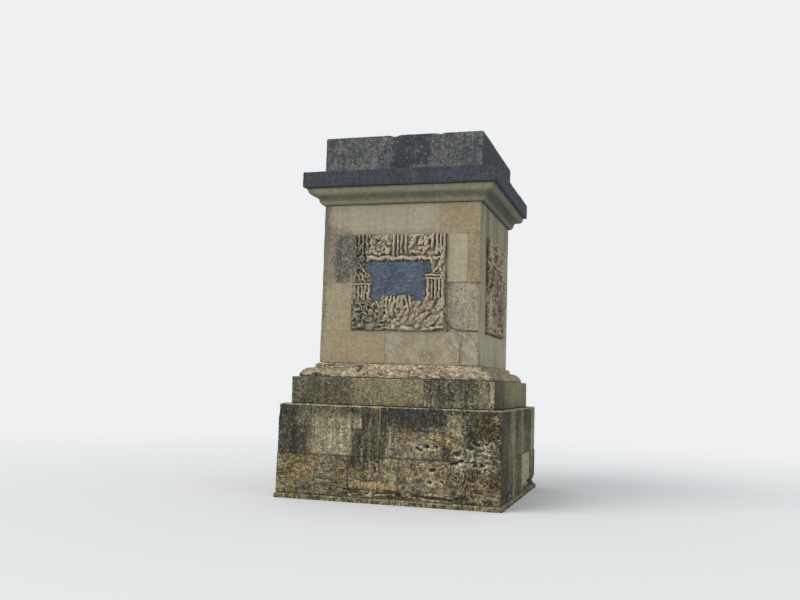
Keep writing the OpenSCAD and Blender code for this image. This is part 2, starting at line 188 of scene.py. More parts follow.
def pits(points, size, seed, share):
    """Round holes: one random point to each cell, of which `share` are kept, and
    a value that falls from 1 at the kept point to 0 at its own radius."""
    q = points / np.asarray(size, float) + 50.5
    cell = np.floor(q).astype(np.int64)
    deepest = np.zeros(points.shape[:-1])
    for step in np.ndindex(3, 3, 3):
        here = cell + np.array(step) - 1
        centre = here + 0.15 + 0.7 * np.stack([lattice(here, seed + k) for k in (1, 2, 3)], -1)
        radius = 0.18 + 0.34 * lattice(here, seed + 4) ** 2
        away = np.linalg.norm(q - centre, axis=-1) / radius
        kept = lattice(here, seed + 5) < share
        deepest = np.maximum(deepest, np.where(kept, np.clip(1 - away, 0, 1), 0))
    return deepest


def ease(value, low, high):
    """0 below low and 1 above high, with the curve 3t^2 - 2t^3 between."""
    t = np.clip((value - low) / (high - low), 0, 1)
    return t * t * (3 - 2 * t)


def fall(value, low, high):
    """1 below low and 0 above high."""
    return 1 - ease(value, low, high)


def within(value, bounds, soft):
    """1 between two bounds and 0 outside them, with soft edges."""
    low, high = bounds
    return ease(value, low - soft, low + soft) * fall(value, high - soft, high + soft)


def bump(value, centre, wide):
    """A bell of height 1: exp(-((value - centre) / wide)^2)."""
    return np.exp(-((value - centre) / wide) ** 2)


# Meshes


def placed(name, data):
    """A new object in the scene, made of a mesh, a lamp or a camera."""
    made = bpy.data.objects.new(name, data)
    bpy.context.scene.collection.objects.link(made)
    return made


def make_piece(name, points, quads, triangles, values, nodes, slot, material):
    """A closed mesh object from arrays, which rides on the body and stands for
    its CAD nodes. Faces are turned outwards by the sign of the enclosed volume."""
    volume = 0.0
    for faces in (triangles, quads[:, [0, 1, 2]], quads[:, [0, 2, 3]]):
        a, b, c = (points[faces[:, k]] for k in range(3))
        volume += np.einsum("ij,ij->i", a, np.cross(b, c)).sum()
    if volume < 0:
        quads, triangles = quads[:, ::-1], triangles[:, ::-1]
    mesh = bpy.data.meshes.new(name)
    corners = np.concatenate([quads.ravel(), triangles.ravel()]).astype(np.int32)
    starts = np.concatenate([np.arange(len(quads)) * 4,
                             quads.size + np.arange(len(triangles)) * 3])
    mesh.vertices.add(len(points))
    mesh.vertices.foreach_set("co", points.astype(np.float32).ravel())
    mesh.loops.add(len(corners))
    mesh.loops.foreach_set("vertex_index", corners)
    mesh.polygons.add(len(starts))
    mesh.polygons.foreach_set("loop_start", starts.astype(np.int32))
    mesh.update(calc_edges=True)
    mesh.validate()
    mesh.polygons.foreach_set("use_smooth", np.ones(len(mesh.polygons), bool))
    for key, value in values.items():
        layer = mesh.attributes.new(key, "FLOAT", "POINT")
        layer.data.foreach_set("value", value.astype(np.float32))
    mesh.materials.append(material)
    piece = placed(name, mesh)
    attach(piece, "root")
    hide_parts(*nodes)
    return piece


def join(parts):
    """Several surfaces as one: their points in a row, with the face numbers of
    each moved on by the points before it."""
    offset, points, quads, triangles, values = 0, [], [], [], []
    for p, q, t, v in parts:
        points.append(p)
        quads.append(q + offset)
        triangles.append(t + offset)
        values.append(v)
        offset += len(p)
    joined = {key: np.concatenate([v[key] for v in values]) for key in values[0]}
    return np.concatenate(points), np.concatenate(quads), np.concatenate(triangles), joined


def grid_cells(index):
    """The four corners of each cell of a grid of point numbers."""
    return np.stack([index[:-1, :-1], index[:-1, 1:], index[1:, 1:], index[1:, :-1]], -1)


def tube_faces(rows, columns, closed):
    """Quads of a grid whose columns wrap round, and the fans that close its two
    ends on the two points after the grid. A closed grid wraps in its rows too."""
    row = np.arange(rows if closed else rows - 1)[:, None]
    column = np.arange(columns)[None, :]
    after = (column + 1) % columns
    below = (row + 1) % rows
    quads = np.stack([row * columns + column, row * columns + after,
                      below * columns + after, below * columns + column], -1).reshape(-1, 4)
    if closed:
        return quads, np.zeros((0, 3), int)
    column, after = column[0], after[0]
    last = (rows - 1) * columns
    first_fan = np.stack([np.full(columns, rows * columns), after, column], -1)
    last_fan = np.stack([np.full(columns, rows * columns + 1), last + column, last + after], -1)
    return quads, np.concatenate([first_fan, last_fan])


def stones_of(node):
    """Boxes of the separate solids in a CAD node: corners with one place are one
    point, and the points of a triangle take its lowest label until none changes."""
    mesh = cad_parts[node].data
    co = np.zeros(len(mesh.vertices) * 3, np.float32)
    mesh.vertices.foreach_get("co", co)
    places, index = np.unique(np.round(co.reshape(-1, 3).astype(float), 4), axis=0,
                              return_inverse=True)
    mesh.calc_loop_triangles()
    corners = np.zeros(len(mesh.loop_triangles) * 3, np.int32)
    mesh.loop_triangles.foreach_get("vertices", corners)
    corners = index.ravel()[corners].reshape(-1, 3)
    label = np.arange(len(places))
    while True:
        lowest = label[corners].min(1)
        new = label.copy()
        for k in range(3):
            np.minimum.at(new, corners[:, k], lowest)
        if (new == label).all():
            break
        label = new
    return [(places[label == k].min(0), places[label == k].max(0)) for k in np.unique(label)]


# Stones


def is_open(half, neighbour):
    """True where the course beside a bed leaves more than a centimetre of it in view."""
    return neighbour < half - 0.01


def between_ends(marks, low, high):
    """Those of the marks that lie between two ends, and not beside them."""
    return [mark for mark in marks if low + MARK_ROOM < mark < high - MARK_ROOM]


def first_gap(in_view):
    """Distance of the first line beside an arris in view, or beside a closed joint."""
    return OPEN_GAP if in_view else CLOSED_GAP


def lines(marks, step, gaps):
    """Places from the first mark to the last, a step apart, and closer beside a
    mark: one, 2.2 and 4 of its gap away. A gap of 0 adds no lines there."""
    rising = np.array([1, 2.2, 4.0])
    out = [np.array([marks[0]])]
    for (start, stop), (first, last) in zip(zip(marks[:-1], marks[1:]), zip(gaps[:-1], gaps[1:])):
        near, far = start + rising * first, stop - rising[::-1] * last
        near, far = (near if first else np.array([start])), (far if last else np.array([stop]))
        if far[0] - near[-1] < step:
            out.append(np.linspace(start, stop, max(2, int((stop - start) / step)) + 1)[1:])
            continue
        count = max(2, int(round((far[0] - near[-1]) / step)) + 1)
        out.append(near if first else near[:0])
        out.append(np.linspace(near[-1], far[0], count)[1:])
        out.append(far[1:])
        if last:
            out.append(np.array([stop]))
    return np.concatenate(out)


def arc(centre, radius, start, stop, step):
    """Points on an arc about (half-width, height), by angles in degrees."""
    count = max(3, int(abs(math.radians(stop - start)) * radius / step) + 1)
    angle = np.radians(np.linspace(start, stop, count))
    return np.stack([centre[0] + radius * np.cos(angle), centre[1] + radius * np.sin(angle)], -1)


def run_of(parts, step):
    """One outline from corner points and arcs, with straight runs divided."""
    corner = np.concatenate([np.atleast_2d(part) for part in parts])
    out = [corner[:1]]
    for a, b in zip(corner[:-1], corner[1:]):
        length = np.hypot(*(b - a))
        if length > 1e-6:
            count = max(1, int(round(length / step)))
            out.append(a + (b - a) * np.arange(1, count + 1)[:, None] / count)
    return np.concatenate(out)


def moulding_outline(low, high):
    """Quarter-round swelling, shelf, fillet and weathered slope up to the die."""
    foot = SWELLING - SWELLING_R
    fillet = foot - SWELLING_SHELF
    shelf = low + SWELLING_R
    round_step, straight_step = MOULDING_SPACING
    return run_of([arc((foot, low), SWELLING_R, 0, 90, round_step), [fillet, shelf],
                   [fillet, shelf + SWELLING_FILLET], [DIE, high]], straight_step)


def cornice_outline(low, high):
    """Bead, fillet, hollow, ovolo and top fillet."""
    bead = DIE + BEAD_OUT
    hollow = bead + BEAD_R + BEAD_FILLET_OUT
    hollow_low = low + BEAD_R + BEAD_FILLET
    ovolo_low = hollow_low + HOLLOW_R
    ovolo = hollow + HOLLOW_R
    round_step, straight_step = CORNICE_SPACING
    return run_of([
        [DIE, low], arc((bead, low + BEAD_R), BEAD_R, -90, 0, round_step),
        [hollow, low + BEAD_R], arc((ovolo, hollow_low), HOLLOW_R, 180, 90, round_step),
        arc((ovolo, ovolo_low + OVOLO_R), OVOLO_R, -90, 0, round_step),
        [CORNICE, ovolo_low + OVOLO_R], [CORNICE, high]], straight_step)


def plumb(course):
    """A plumb face, whose lines are close together at its beds and where it holds
    the stepped joint."""
    def outline(low, high):
        inner = between_ends([STEPPED_Z], low, high)
        gaps = [first_gap(is_open(course.half, course.below))] + [CLOSED_GAP] * len(inner)
        gaps += [first_gap(is_open(course.half, course.above))]
        z = lines([low, *inner, high], course.spacing, gaps)
        return np.stack([np.full(len(z), course.half), z], -1)
    return outline


def bed_line(inner, outer, neighbour, step):
    """Half-widths across a bed, close together only where it is open to view."""
    if not is_open(outer, neighbour):
        return np.array([inner, outer])
    hidden = max(neighbour - BED_MARGIN, inner + 0.004)
    return np.concatenate([[inner], lines([hidden, outer], step, [0, OPEN_GAP])])


def lean(away):
    """How far a surface near an arris leans with its neighbour: exp(-away / 25 mm)."""
    return np.exp(-away / 0.025)


class Section:
    """Cut through a course, a closed line of (half-width, height): the lower bed
    outwards, the face upwards, the upper bed inwards, and back down inside. It
    also holds the direction out of the stone and how open to view it is, and the
    inner corner at the wider bed, from which the whole line can be seen."""

    def __init__(self, course, low, high, inner):
        below, above = course.below, course.above
        face = (course.outline or plumb(course))(low, high)
        out_low, out_high = face[0, 0], face[-1, 0]
        under = bed_line(inner, out_low, below, course.spacing)
        over = bed_line(inner, out_high, above, course.spacing)[::-1]
        self.h = np.concatenate([under[:-1], face[:, 0], over[1:]])
        self.z = np.concatenate([np.full(len(under) - 1, low), face[:, 1],
                                 np.full(len(over) - 1, high)])
        first, last = len(under) - 1, len(under) + len(face) - 2
        run = np.concatenate([[0], np.cumsum(np.hypot(np.diff(self.h), np.diff(self.z)))])
        self.from_low = np.abs(run - run[first])
        self.from_high = np.abs(run[last] - run)
        along = np.gradient(face, axis=0)
        along /= np.linalg.norm(along, axis=1)[:, None]
        place = np.arange(len(self.h))
        self.out = np.zeros((len(self.h), 2))
        self.out[first:last + 1] = np.stack([along[:, 1], -along[:, 0]], -1)
        self.deepest = 0 if out_low >= out_high else -1
        self.open = np.ones(len(self.h))
        self.open_low, self.open_high = is_open(out_low, below), is_open(out_high, above)
        for on_bed, away, way, bed_open, neighbour in (
                (place < first, self.from_low, -1, self.open_low, below),
                (place > last, self.from_high, 1, self.open_high, above)):
            if bed_open:
                self.out[on_bed] = [0, way]
                self.out += np.where(on_bed[:, None], [1, 0], [0, way]) * lean(away)[:, None]
                self.open[on_bed] = ease(self.h[on_bed], neighbour - BED_MARGIN, neighbour)
            else:
                self.open[on_bed] = 0


def settled(stains, grid):
    """Every stain as one row with a number for each point of the grid, kept
    between 0 and the most that shows."""
    stains = {**PLAIN, **stains}
    for key, most in MOST.items():
        stains[key] = np.clip(stains[key], 0, most)
    return {key: np.broadcast_to(value, grid).ravel() for key, value in stains.items()}


def sweep(section, course, legs, number, closed=False, marks=()):
    """A course's section carried along its sides as one closed surface. At a plain
    end every point has the same place u along the side, and at a mitre u is plus
    or minus its own half-width h: place = a + (u - A)(b - a)/(B - A), where A and B
    are the ends at the face and a and b those at h. The point is tangent * place +
    outward * h + up * z, and each open point moves in by the depth of its wear."""
    rows = []
    h = section.h[None, :]
    for side, left, right, mitre_left, mitre_right in legs:
        inner = between_ends(marks, left, right)
        gaps = [first_gap(mitre_left)] + [CLOSED_GAP] * len(inner) + [first_gap(mitre_right)]
        u = lines([left, *inner, right], course.spacing * FAR_SIDE_SPACING[side], gaps)
        u = (u[1:] if mitre_left else u)[:, None]
        a = -h if mitre_left else left
        b = h if mitre_right else right
        place = a + (u - left) * (b - a) / (right - left)
        place = np.broadcast_to(place, (len(u), h.shape[1]))
        to_left, to_right = place + h, h - place
        turn = lean(to_right) if mitre_right else 0 * place
        turn = turn - (lean(to_left) if mitre_left else 0)
        out = ((OUTWARD[side] + turn[..., None] * TANGENT[side]) * section.out[None, :, 0, None]
               + UP * section.out[None, :, 1, None])
        far = np.full(place.shape, FAR_AWAY)
        joint = np.minimum(far if mitre_left else place - left,
                           far if mitre_right else right - place)
        corner = np.minimum(to_left if mitre_left else far, to_right if mitre_right else far)
        rows.append((on_side(side, place, h, section.z[None, :]), out, place, joint, corner,
                     np.full(place.shape, side)))
    point, out, u, joint, corner, side = (np.concatenate(part) for part in zip(*rows))
    grid = u.shape
    z = np.broadcast_to(section.z, grid)
    # The stepped joint gives its stones two more edges
    stepped = course.stepped & ((side == FRONT) | (side == BACK))
    for beside, away in ((z > STEPPED_Z - NEARLY, u - STEPPED_U),
                         (u < STEPPED_U + NEARLY, z - STEPPED_Z)):
        joint = np.where(stepped & beside, np.minimum(joint, np.abs(away)), joint)
    s = SimpleNamespace(
        p=point, own=point + OWN_SHIFT * number, u=u, z=z, side=side, stepped=stepped,
        front=side == FRONT, east=side == EAST, joint=joint, corner=corner, up=out[..., 2],
        low=np.broadcast_to(section.from_low, grid), high=np.broadcast_to(section.from_high, grid),
        open_low=section.open_low, open_high=section.open_high, number=number, half=course.half,
        ragged=[drift(RAGGED_REACH, point, RAGGED_SIZE, seed) for seed in RAGGED_SEEDS])
    depth, stains = course.wear(s)
    stains = settled({"tone": one_of(s, 2), **stains}, grid)
    point = point - out * (depth * section.open)[..., None]
    point[..., 2] = np.clip(point[..., 2], section.z.min(), section.z.max())
    quads, triangles = tube_faces(*grid, closed)
    flat = point.reshape(-1, 3)
    if not closed:
        poles = [0.9 * end[section.deepest] + 0.1 * end.mean(0) for end in (point[0], point[-1])]
        flat = np.concatenate([flat, poles])
        stains = {key: np.append(value, [0, 0]) for key, value in stains.items()}
    return flat, quads, triangles, stains


def stone(box, course, number, marks=()):
    """One stone of a course: a straight run, or two that meet in a mitre where the
    stone holds a corner. Its depth is the shorter side of its box in plan."""
    low, high = box
    half = course.half
    reached = (-low[1], high[0], high[1], -low[0])
    sides = [side for side in range(4) if abs(reached[side] - half) < NEARLY]
    if sides == [FRONT, WEST]:
        sides = [WEST, FRONT]
    depth = min(high[0] - low[0], high[1] - low[1])
    section = Section(course, low[2], high[2], half - BED_SHARE * depth)
    legs = []
    for order, side in enumerate(sides):
        left, right = sorted([low @ TANGENT[side], high @ TANGENT[side]])
        legs.append((side, left, right, order == 1, order == 0 and len(sides) == 2))
    return sweep(section, course, legs, number, marks=marks)


# Wear of each kind of stone, as the depth lost in metres and the stains. A stain is
# the share of the surface that it covers, or how strongly a finish shows there. The
# hollow is no stain but painted shade in the holes, cracks and recesses that the depth
# cuts, and dark lines along some joints.


def spot_at(s, u, z, wide, high, side=FRONT):
    """1 at a place on one side, falling as a bell along it and upwards."""
    return bump(s.u, u, wide) * bump(s.z, z, high) * (s.side == side)


def patch(s, u, z, soft, side=FRONT):
    """1 within a rectangle of one side with a ragged outline, 0 outside it."""
    ragged_u, ragged_z = s.ragged
    return within(s.u + ragged_u, u, soft) * within(s.z + ragged_z, z, soft) * (s.side == side)


def one_of(s, key):
    """A random value in 0..1 for the whole stone."""
    return float(lattice(np.array([s.number, key, 7]), 5))


def edges(s, joint, arris, seed, narrow=0.004, wide=0.02):
    """Depth lost at closed joints, exp(-t/narrow), and at open arrises, where a
    random field nibbles at exp(-t/wide)."""
    nibble = 0.35 + 1.3 * cloud(s.p, 0.11, seed) ** 1.5
    loss = joint * np.exp(-s.joint / narrow) + arris * nibble * np.exp(-s.corner / wide)
    for away, in_view in ((s.low, s.open_low), (s.high, s.open_high)):
        lost = arris * nibble * np.exp(-away / wide) if in_view else joint * np.exp(-away / narrow)
        loss = loss + lost
    return loss


def seam(s, wide):
    """1 at a closed joint and 0 a little way from it."""
    near = s.joint
    if not s.open_low:
        near = np.minimum(near, s.low)
    if not s.open_high:
        near = np.minimum(near, s.high)
    return fall(near, 0.3 * wide, wide)


def stained(stains, *marks):
    """The stains with each mark added: a mask, and its share of each stain."""
    for mask, shares in marks:
        for key, share in shares.items():
            stains[key] = stains[key] + share * mask
    return stains


# Holes in the front of the base: place, height, radius
HOLES = ((0.586, 0.813, 0.032), (0.719, 0.812, 0.022), (1.015, 0.730, 0.035),
         (1.174, 0.827, 0.030), (1.212, 0.812, 0.027), (1.295, 0.862, 0.027),
         (1.408, 0.875, 0.022), (1.071, 0.644, 0.024), (0.995, 0.603, 0.024),
         (0.940, 0.598, 0.022), (0.688, 0.504, 0.027), (0.650, 0.497, 0.022),
         (1.263, 0.588, 0.026), (1.353, 0.593, 0.026), (0.638, 0.337, 0.027),
         (0.809, 0.348, 0.019), (0.453, 0.784, 0.022), (1.579, 0.971, 0.024),
         (-0.115, 0.566, 0.027), (-0.349, 0.760, 0.019), (0.500, 0.760, 0.019),
         (1.330, 0.790, 0.018), (0.860, 0.560, 0.016), (1.480, 0.700, 0.019))

# The crack that joins some of them: places and heights
CRACK = ((0.67, 0.74, 0.82, 0.94, 1.09), (0.497, 0.560, 0.583, 0.600, 0.650))

# Strokes of lime down the front of the base
LIME_STROKES = (-0.82, -0.66, -0.53)

# Orange spots on it: share, place, height, width and height of the spot
ORANGE_SPOTS = ((1, -1.14, 0.43, 0.06, 0.04), (0.4, 1.56, 1.12, 0.04, 0.10),
                (1, 1.33, 0.33, 0.06, 0.05), (1, 0.35, 0.83, 0.06, 0.05),
                (1, 0.70, 0.95, 0.08, 0.06))


def base_form(s):
    """Form of the base's stones: broad hollows, small lumps, round holes, a crack,
    and a strip along the ground that frost has split into thin ledges."""
    u, z, p, own, front = s.u, s.z, s.p, s.own, s.front
    pitted = 0.25 + 0.75 * np.where(front, ease(u, 0.0, 0.6), cloud(p, 1.1, 31, 2))
    pitted = pitted * (0.35 + 0.65 * fall(z, 0.95, 1.2)) * pits(own, 0.062, 11, 0.45)
    big = pits(own, (0.17, 0.17, 0.12), 19, 0.22) * (1 - front) * ease(s.corner, 0.10, 0.25)
    hole = sum(spot_at(s, *at, 1.2 * r, 0.9 * r) for *at, r in HOLES)
    hole = np.minimum(1.3 * hole + 1.1 * big, 1)
    crack = bump(z + 0.25 * s.ragged[0], np.interp(u, *CRACK), 0.011)
    crack = crack * front * within(u, (0.68, 1.06), 0.02)
    strip = np.exp(-((z - 0.135) / 0.055) ** 4)
    strip = strip * np.where(front, ease(u, -0.8, -0.5) * (1 - 0.6 * ease(u, 0.9, 1.2)),
                             ease(cloud(p, 0.9, 41, 2), 0.4, 0.6))
    ledge = cloud(own, (0.16, 0.16, 0.022), 43, 2)
    chip = spot_at(s, -1.60, 1.25, 0.04, 0.10) + spot_at(s, 1.60, 1.25, 0.04, 0.10, WEST)
    sunk = (u < STEPPED_U - NEARLY) & (z > STEPPED_Z + NEARLY) & s.stepped
    lumpy = np.clip(cloud(own, 0.07, 53) - 0.42, 0, 1)
    inner = ease(s.corner, 0.0, 0.10)
    depth = (edges(s, 0.004, 0.003, 47) + 0.008 * inner * cloud(p, 0.45, 51, 2)
             + 0.022 * (0.3 + 0.7 * inner) * lumpy + 0.014 * pitted + 0.040 * hole
             + strip * (0.008 + 0.044 * ledge) + 0.010 * chip + 0.014 * crack + 0.03 * sunk
             + 0.003 * one_of(s, 1))
    # Painted shade: darker in the holes, the crack and the pits
    hollow = ease(hole, 0.30, 0.65) + 0.8 * crack + 0.65 * pitted
    return depth, SimpleNamespace(hollow=hollow, strip=strip, ledge=ledge)


def base_front_marks(s, lower, on_left):
    """Places on the front of the base, as the weather has left them."""
    u, z = s.u, s.z
    above_bed = z > UPPER_BED_Z
    past_joint = u > np.where(z > STEPPED_Z, STEPPED_U, HALF_END_U)
    bedding = drift(1, s.own + 8, (0.5, 0.5, 0.03), 65)
    drip = ease(cloud(s.p + 6, (0.022, 0.022, 0.5), 67, 2), 0.62, 0.78)
    dark_stone = patch(s, (-1.7, -1.15), (0.64, 1.40), 0.10)
    darkest = patch(s, (-1.7, -1.20), (0.40, 0.98), 0.10) * above_bed
    pale_block = patch(s, (-1.10, 0.0), (0.40, 1.19), 0.10) * ~past_joint * above_bed
    band = patch(s, (-0.05, 0.83), (1.07, 1.4), 0.05)
    grey = patch(s, (-0.50, 0.02), (0.50, 1.25), 0.06) * (past_joint | ~above_bed)
    centre = patch(s, (0.05, 0.87), (0.70, 1.07), 0.08)
    column = patch(s, (0.86, 1.07), (0.80, 1.26), 0.015)
    white = patch(s, (1.05, 1.60), (0.60, 0.93), 0.10)
    brown = patch(s, (1.22, 1.62), (0.93, 1.33), 0.08)
    orange = sum(share * spot_at(s, *at) for share, *at in ORANGE_SPOTS)
    salmon = patch(s, (-0.47, 0.21), (0.195, 0.285), 0.02)
    low_left = patch(s, (-1.62, -0.45), (0.15, 0.60), 0.08)
    right_half = patch(s, (0.85, 1.62), (0.25, 1.05), 0.12)
    streak = bump(u, 0.035 + 0.02 * np.sin(z * 9) + 0.6 * s.ragged[0], 0.022)
    streak = streak * ease(z, 0.5, 0.6) * s.front
    lime = s.front * sum(bump(u + 0.3 * s.ragged[1], at, 0.012) for at in LIME_STROKES)
    lime = lime * ease(z, 0.68, 0.76) * fall(z, 1.05, 1.15)
    lime = lime + 1.2 * spot_at(s, 1.11, 1.03, 0.016, 0.14)
    rim_of_hole = sum(spot_at(s, *at, 1.9 * r, 1.7 * r) for *at, r in HOLES)
    drips = sum(spot_at(s, at + 0.3 * s.ragged[1], high - 0.09, 0.013, 0.08)
                for at, high, r in HOLES)
    return (
        (dark_stone, dict(crust=0.24, warm=-0.25, speck=0.5, runs=0.2)),
        (darkest, dict(crust=0.24)),
        (pale_block, dict(crust=-0.46, warm=0.05, pale=0.22 + 0.55 * drip, moss=0.45,
                          runs=0.30, calm=0.30)),
        (band, dict(crust=0.42, warm=-0.2, pale=-0.1, runs=0.25)),
        (grey, dict(crust=0.28, warm=-0.3, pale=0.385 * drip, runs=0.30)),
        (centre, dict(crust=0.02, rough=0.2, beds=0.25)),
        (column, dict(crust=-0.42, warm=0.60, pale=-0.05)),
        (white, dict(crust=-0.15, pale=0.30)),
        (brown, dict(crust=0.30, warm=0.35)),
        (orange, dict(crust=-0.3, warm=0.60)),
        (salmon, dict(crust=-0.7, warm=0.50, rough=-0.4, calm=0.5)),
        (low_left, dict(crust=0.02 + 0.6 * bedding, warm=0.22, pale=0.7 * bedding - 0.04,
                        rough=-0.15, beds=0.35)),
        (right_half, dict(crust=0.50 - 0.22 * lower, pale=0.10 - 0.10 * lower + 0.22 * drip,
                          rough=0.4)),
        (on_left, dict(rough=-0.20, calm=0.30)),
        (lower * s.front, dict(warm=0.10)),
        (streak, dict(crust=-0.6, pale=0.75)),
        (lime, dict(pale=0.5)),
        (rim_of_hole, dict(crust=-0.50, pale=1.1)),
        (drips, dict(crust=-0.25, pale=0.45)))


def base_right_marks(s, lower, run):
    """The right side of the base is darker, with runs of lime down it, one paler
    stone, and one that is darker still."""
    sheet = cloud(s.p + 12, (0.26, 0.26, 1.3), 69)
    return (
        (s.east, dict(crust=0.08 + 1.1 * (sheet - 0.5) + 0.4 * run + 0.30 * fall(s.u, -1.6, -0.5),
                      warm=-0.45, pale=0.05 + 0.30 * fall(sheet, 0.30, 0.45), moss=0.75,
                      rough=-0.4, runs=0.35, calm=0.5)),
        (patch(s, (0.26, 1.03), (0.15, 0.80), 0.05, EAST) * lower, dict(crust=-0.90, pale=0.80)),
        (patch(s, (0.45, 1.15), (0.98, 1.36), 0.06, EAST), dict(crust=0.25)))


def base_wear(s):
    """Pitted and crusted limestone of the base."""
    z, p = s.z, s.p
    depth, form = base_form(s)
    lower = z < 0.63
    top = ease(z, 0.90, 1.25)
    run = drift(1, p + 3, (0.07, 0.07, 0.8), 61)
    smooth = ease(cloud(p + 20, 0.26, 77), 0.50, 0.62)
    on_left = s.front * fall(s.u, -0.60, 0.00)
    tight = on_left * ease(z, UPPER_BED_Z + 0.03, UPPER_BED_Z + 0.06)
    rim = fall(s.high, 0.006, 0.026) if s.open_high and s.half == BASE else 0
    return depth, stained(
        dict(crust=0.42 + drift(0.6, p, 0.35, 71) + 0.22 * top + 0.4 * run,
             warm=0.40 + drift(0.8, p, 0.28, 73) + 0.12 * lower - 0.15 * top,
             pale=0.20 + drift(0.5, p, 0.12, 75), moss=0.35 + 0.2 * fall(z, 0.1, 0.5),
             hollow=form.hollow + 0.5 * seam(s, 0.010) * s.front * (1 - 0.7 * tight),
             seam=seam(s, 0.018) * (1 - 0.4 * s.east) * (1 - 0.6 * tight),
             speck=0.3, rough=0.6, runs=0.10, beds=0, calm=0.08),
        *base_front_marks(s, lower, on_left),
        *base_right_marks(s, lower, run),
        (smooth, dict(rough=-0.3, calm=0.45)),
        # Between the frost-split ledges the hollow is painted shade
        (form.strip, dict(crust=0.30 - 0.5 * ease(0.5 - form.ledge, 0.0, 0.1),
                          pale=0.6 * ease(0.45 - form.ledge, 0.0, 0.1),
                          hollow=0.8 * ease(form.ledge, 0.4, 0.6))),
        (rim, dict(crust=-1.0, pale=0.9)))


def step_wear(s):
    """Step: flat faces with shallow lumps, dark in great patches."""
    depth = (edges(s, 0.004, 0.004, 87) + 0.006 * cloud(s.p, 0.4, 81, 2)
             + 0.008 * (cloud(s.own, 0.05, 83) - 0.3) + 0.006 * pits(s.own, 0.08, 85, 0.3)
             + 0.003 * one_of(s, 1))
    run = drift(1, s.p + 5, (0.09, 0.09, 0.5), 91)
    on_right = s.u > STEP_JOINT_U
    left = patch(s, (-1.5, -0.62), (1.3, 1.8), 0.15)
    middle = patch(s, (-0.55, 0.49), (1.3, 1.8), 0.15)
    black = patch(s, (0.30, 1.20), (1.45, 1.8), 0.06) * on_right
    ashen = patch(s, (0.30, 1.30), (1.2, 1.49), 0.05) * on_right
    strip = patch(s, (1.42, 1.60), (1.2, 1.8), 0.02)
    near = patch(s, (-1.46, -1.15), (1.2, 1.8), 0.06, EAST)
    return depth, stained(
        dict(crust=0.44 + drift(0.55, s.p, 0.5, 93) + 0.4 * run,
             warm=0.18 + drift(0.5, s.p, 0.3, 95, 2), pale=0.14, moss=0.45,
             seam=0.5 * seam(s, 0.010), speck=0.6, rough=0.7, runs=0.2, calm=0.35),
        (left, dict(crust=0.14, calm=0.25)),
        (middle, dict(crust=-0.25, warm=0.15, pale=0.1, moss=0.2)),
        (black, dict(crust=0.40, warm=-0.30, rough=0.3)),
        (ashen, dict(crust=0.04, warm=-0.35, pale=0.26)),
        (strip, dict(crust=-0.50, warm=0.20, pale=0.50, rough=0.3)),
        (near, dict(crust=0.20)),
        (on_right * s.front, dict(calm=-0.30)),
        (s.east, dict(crust=0.28, warm=-0.2, pale=0.3 * run, moss=0.3, rough=-0.4, runs=0.4,
                      calm=0.2)),
        (s.east * ease(s.u, -0.9, -0.1), dict(crust=-0.46, pale=0.24)),
        (fall(s.high, 0.0, 0.014), dict(crust=-0.3, pale=0.3)))


def moulding_wear(s):
    """Base moulding: its swelling is eaten into lumps and holes, less so near the
    left stone's end and the right corner."""
    kept = (patch(s, (-0.86, -0.56), (1.6, 2.0), 0.06) + patch(s, (0.95, 1.45), (1.6, 1.85), 0.1)
            + (1 - s.front) * ease(cloud(s.p, 0.7, 101, 2), 0.42, 0.55))
    ledge = (patch(s, (-0.40, 0.37), (1.80, 1.925), 0.01)
             + patch(s, (0.77, 1.32), (1.80, 1.925), 0.01)) * ease(s.z, 1.845, 1.86)
    eaten = 1 - 0.7 * np.clip(kept + ledge, 0, 1)
    inside = ease(s.high, 0.0, 0.07)
    lump = cloud(s.own, 0.070, 103, 3, 0.6)
    small = pits(s.own, 0.055, 109, 0.6)
    hole = spot_at(s, -0.522, 1.846, 0.03, 0.03)
    dark_joint = spot_at(s, 0.746, 1.740, 0.03, 0.03)
    depth = (edges(s, 0.003, 0.003, 107)
             + eaten * inside * (0.016 * ease(lump, 0.45, 0.80) + 0.009 * small
                                 + 0.012 * bump(s.z, 1.900, 0.025) * (1 - ledge))
             + 0.03 * hole + 0.012 * dark_joint + 0.002 * one_of(s, 1))
    # Hollow is painted shade in the hole, the recess at the dark joint and the eaten pits; crust
    # along the foot and at the left end, where the swelling meets the step, is part dirt and part
    # painted shade
    return depth, stained(
        dict(crust=0.14 + drift(0.4, s.p, 0.3, 111) + 0.12 * fall(s.z, 1.73, 1.80),
             warm=0.40 + drift(0.8, s.p, 0.25, 113, 2), pale=0.36 + 0.9 * (0.5 - lump), moss=0.25,
             hollow=1.3 * hole + dark_joint + 0.30 * small * eaten * inside,
             seam=0.4 * seam(s, 0.010), speck=0.3, rough=0.3, runs=0.0, beds=0.35, calm=0.2),
        (eaten, dict(crust=0.15 * ease(lump, 0.5, 0.7), rough=0.5)),
        (ledge, dict(pale=0.40)),
        (patch(s, (-1.45, -0.95), (1.6, 1.84), 0.1), dict(crust=0.25)),
        (patch(s, (-0.1, 0.6), (1.6, 2.0), 0.2), dict(warm=0.25)),
        (s.east, dict(crust=0.25 * fall(s.u, -0.8, 0))))


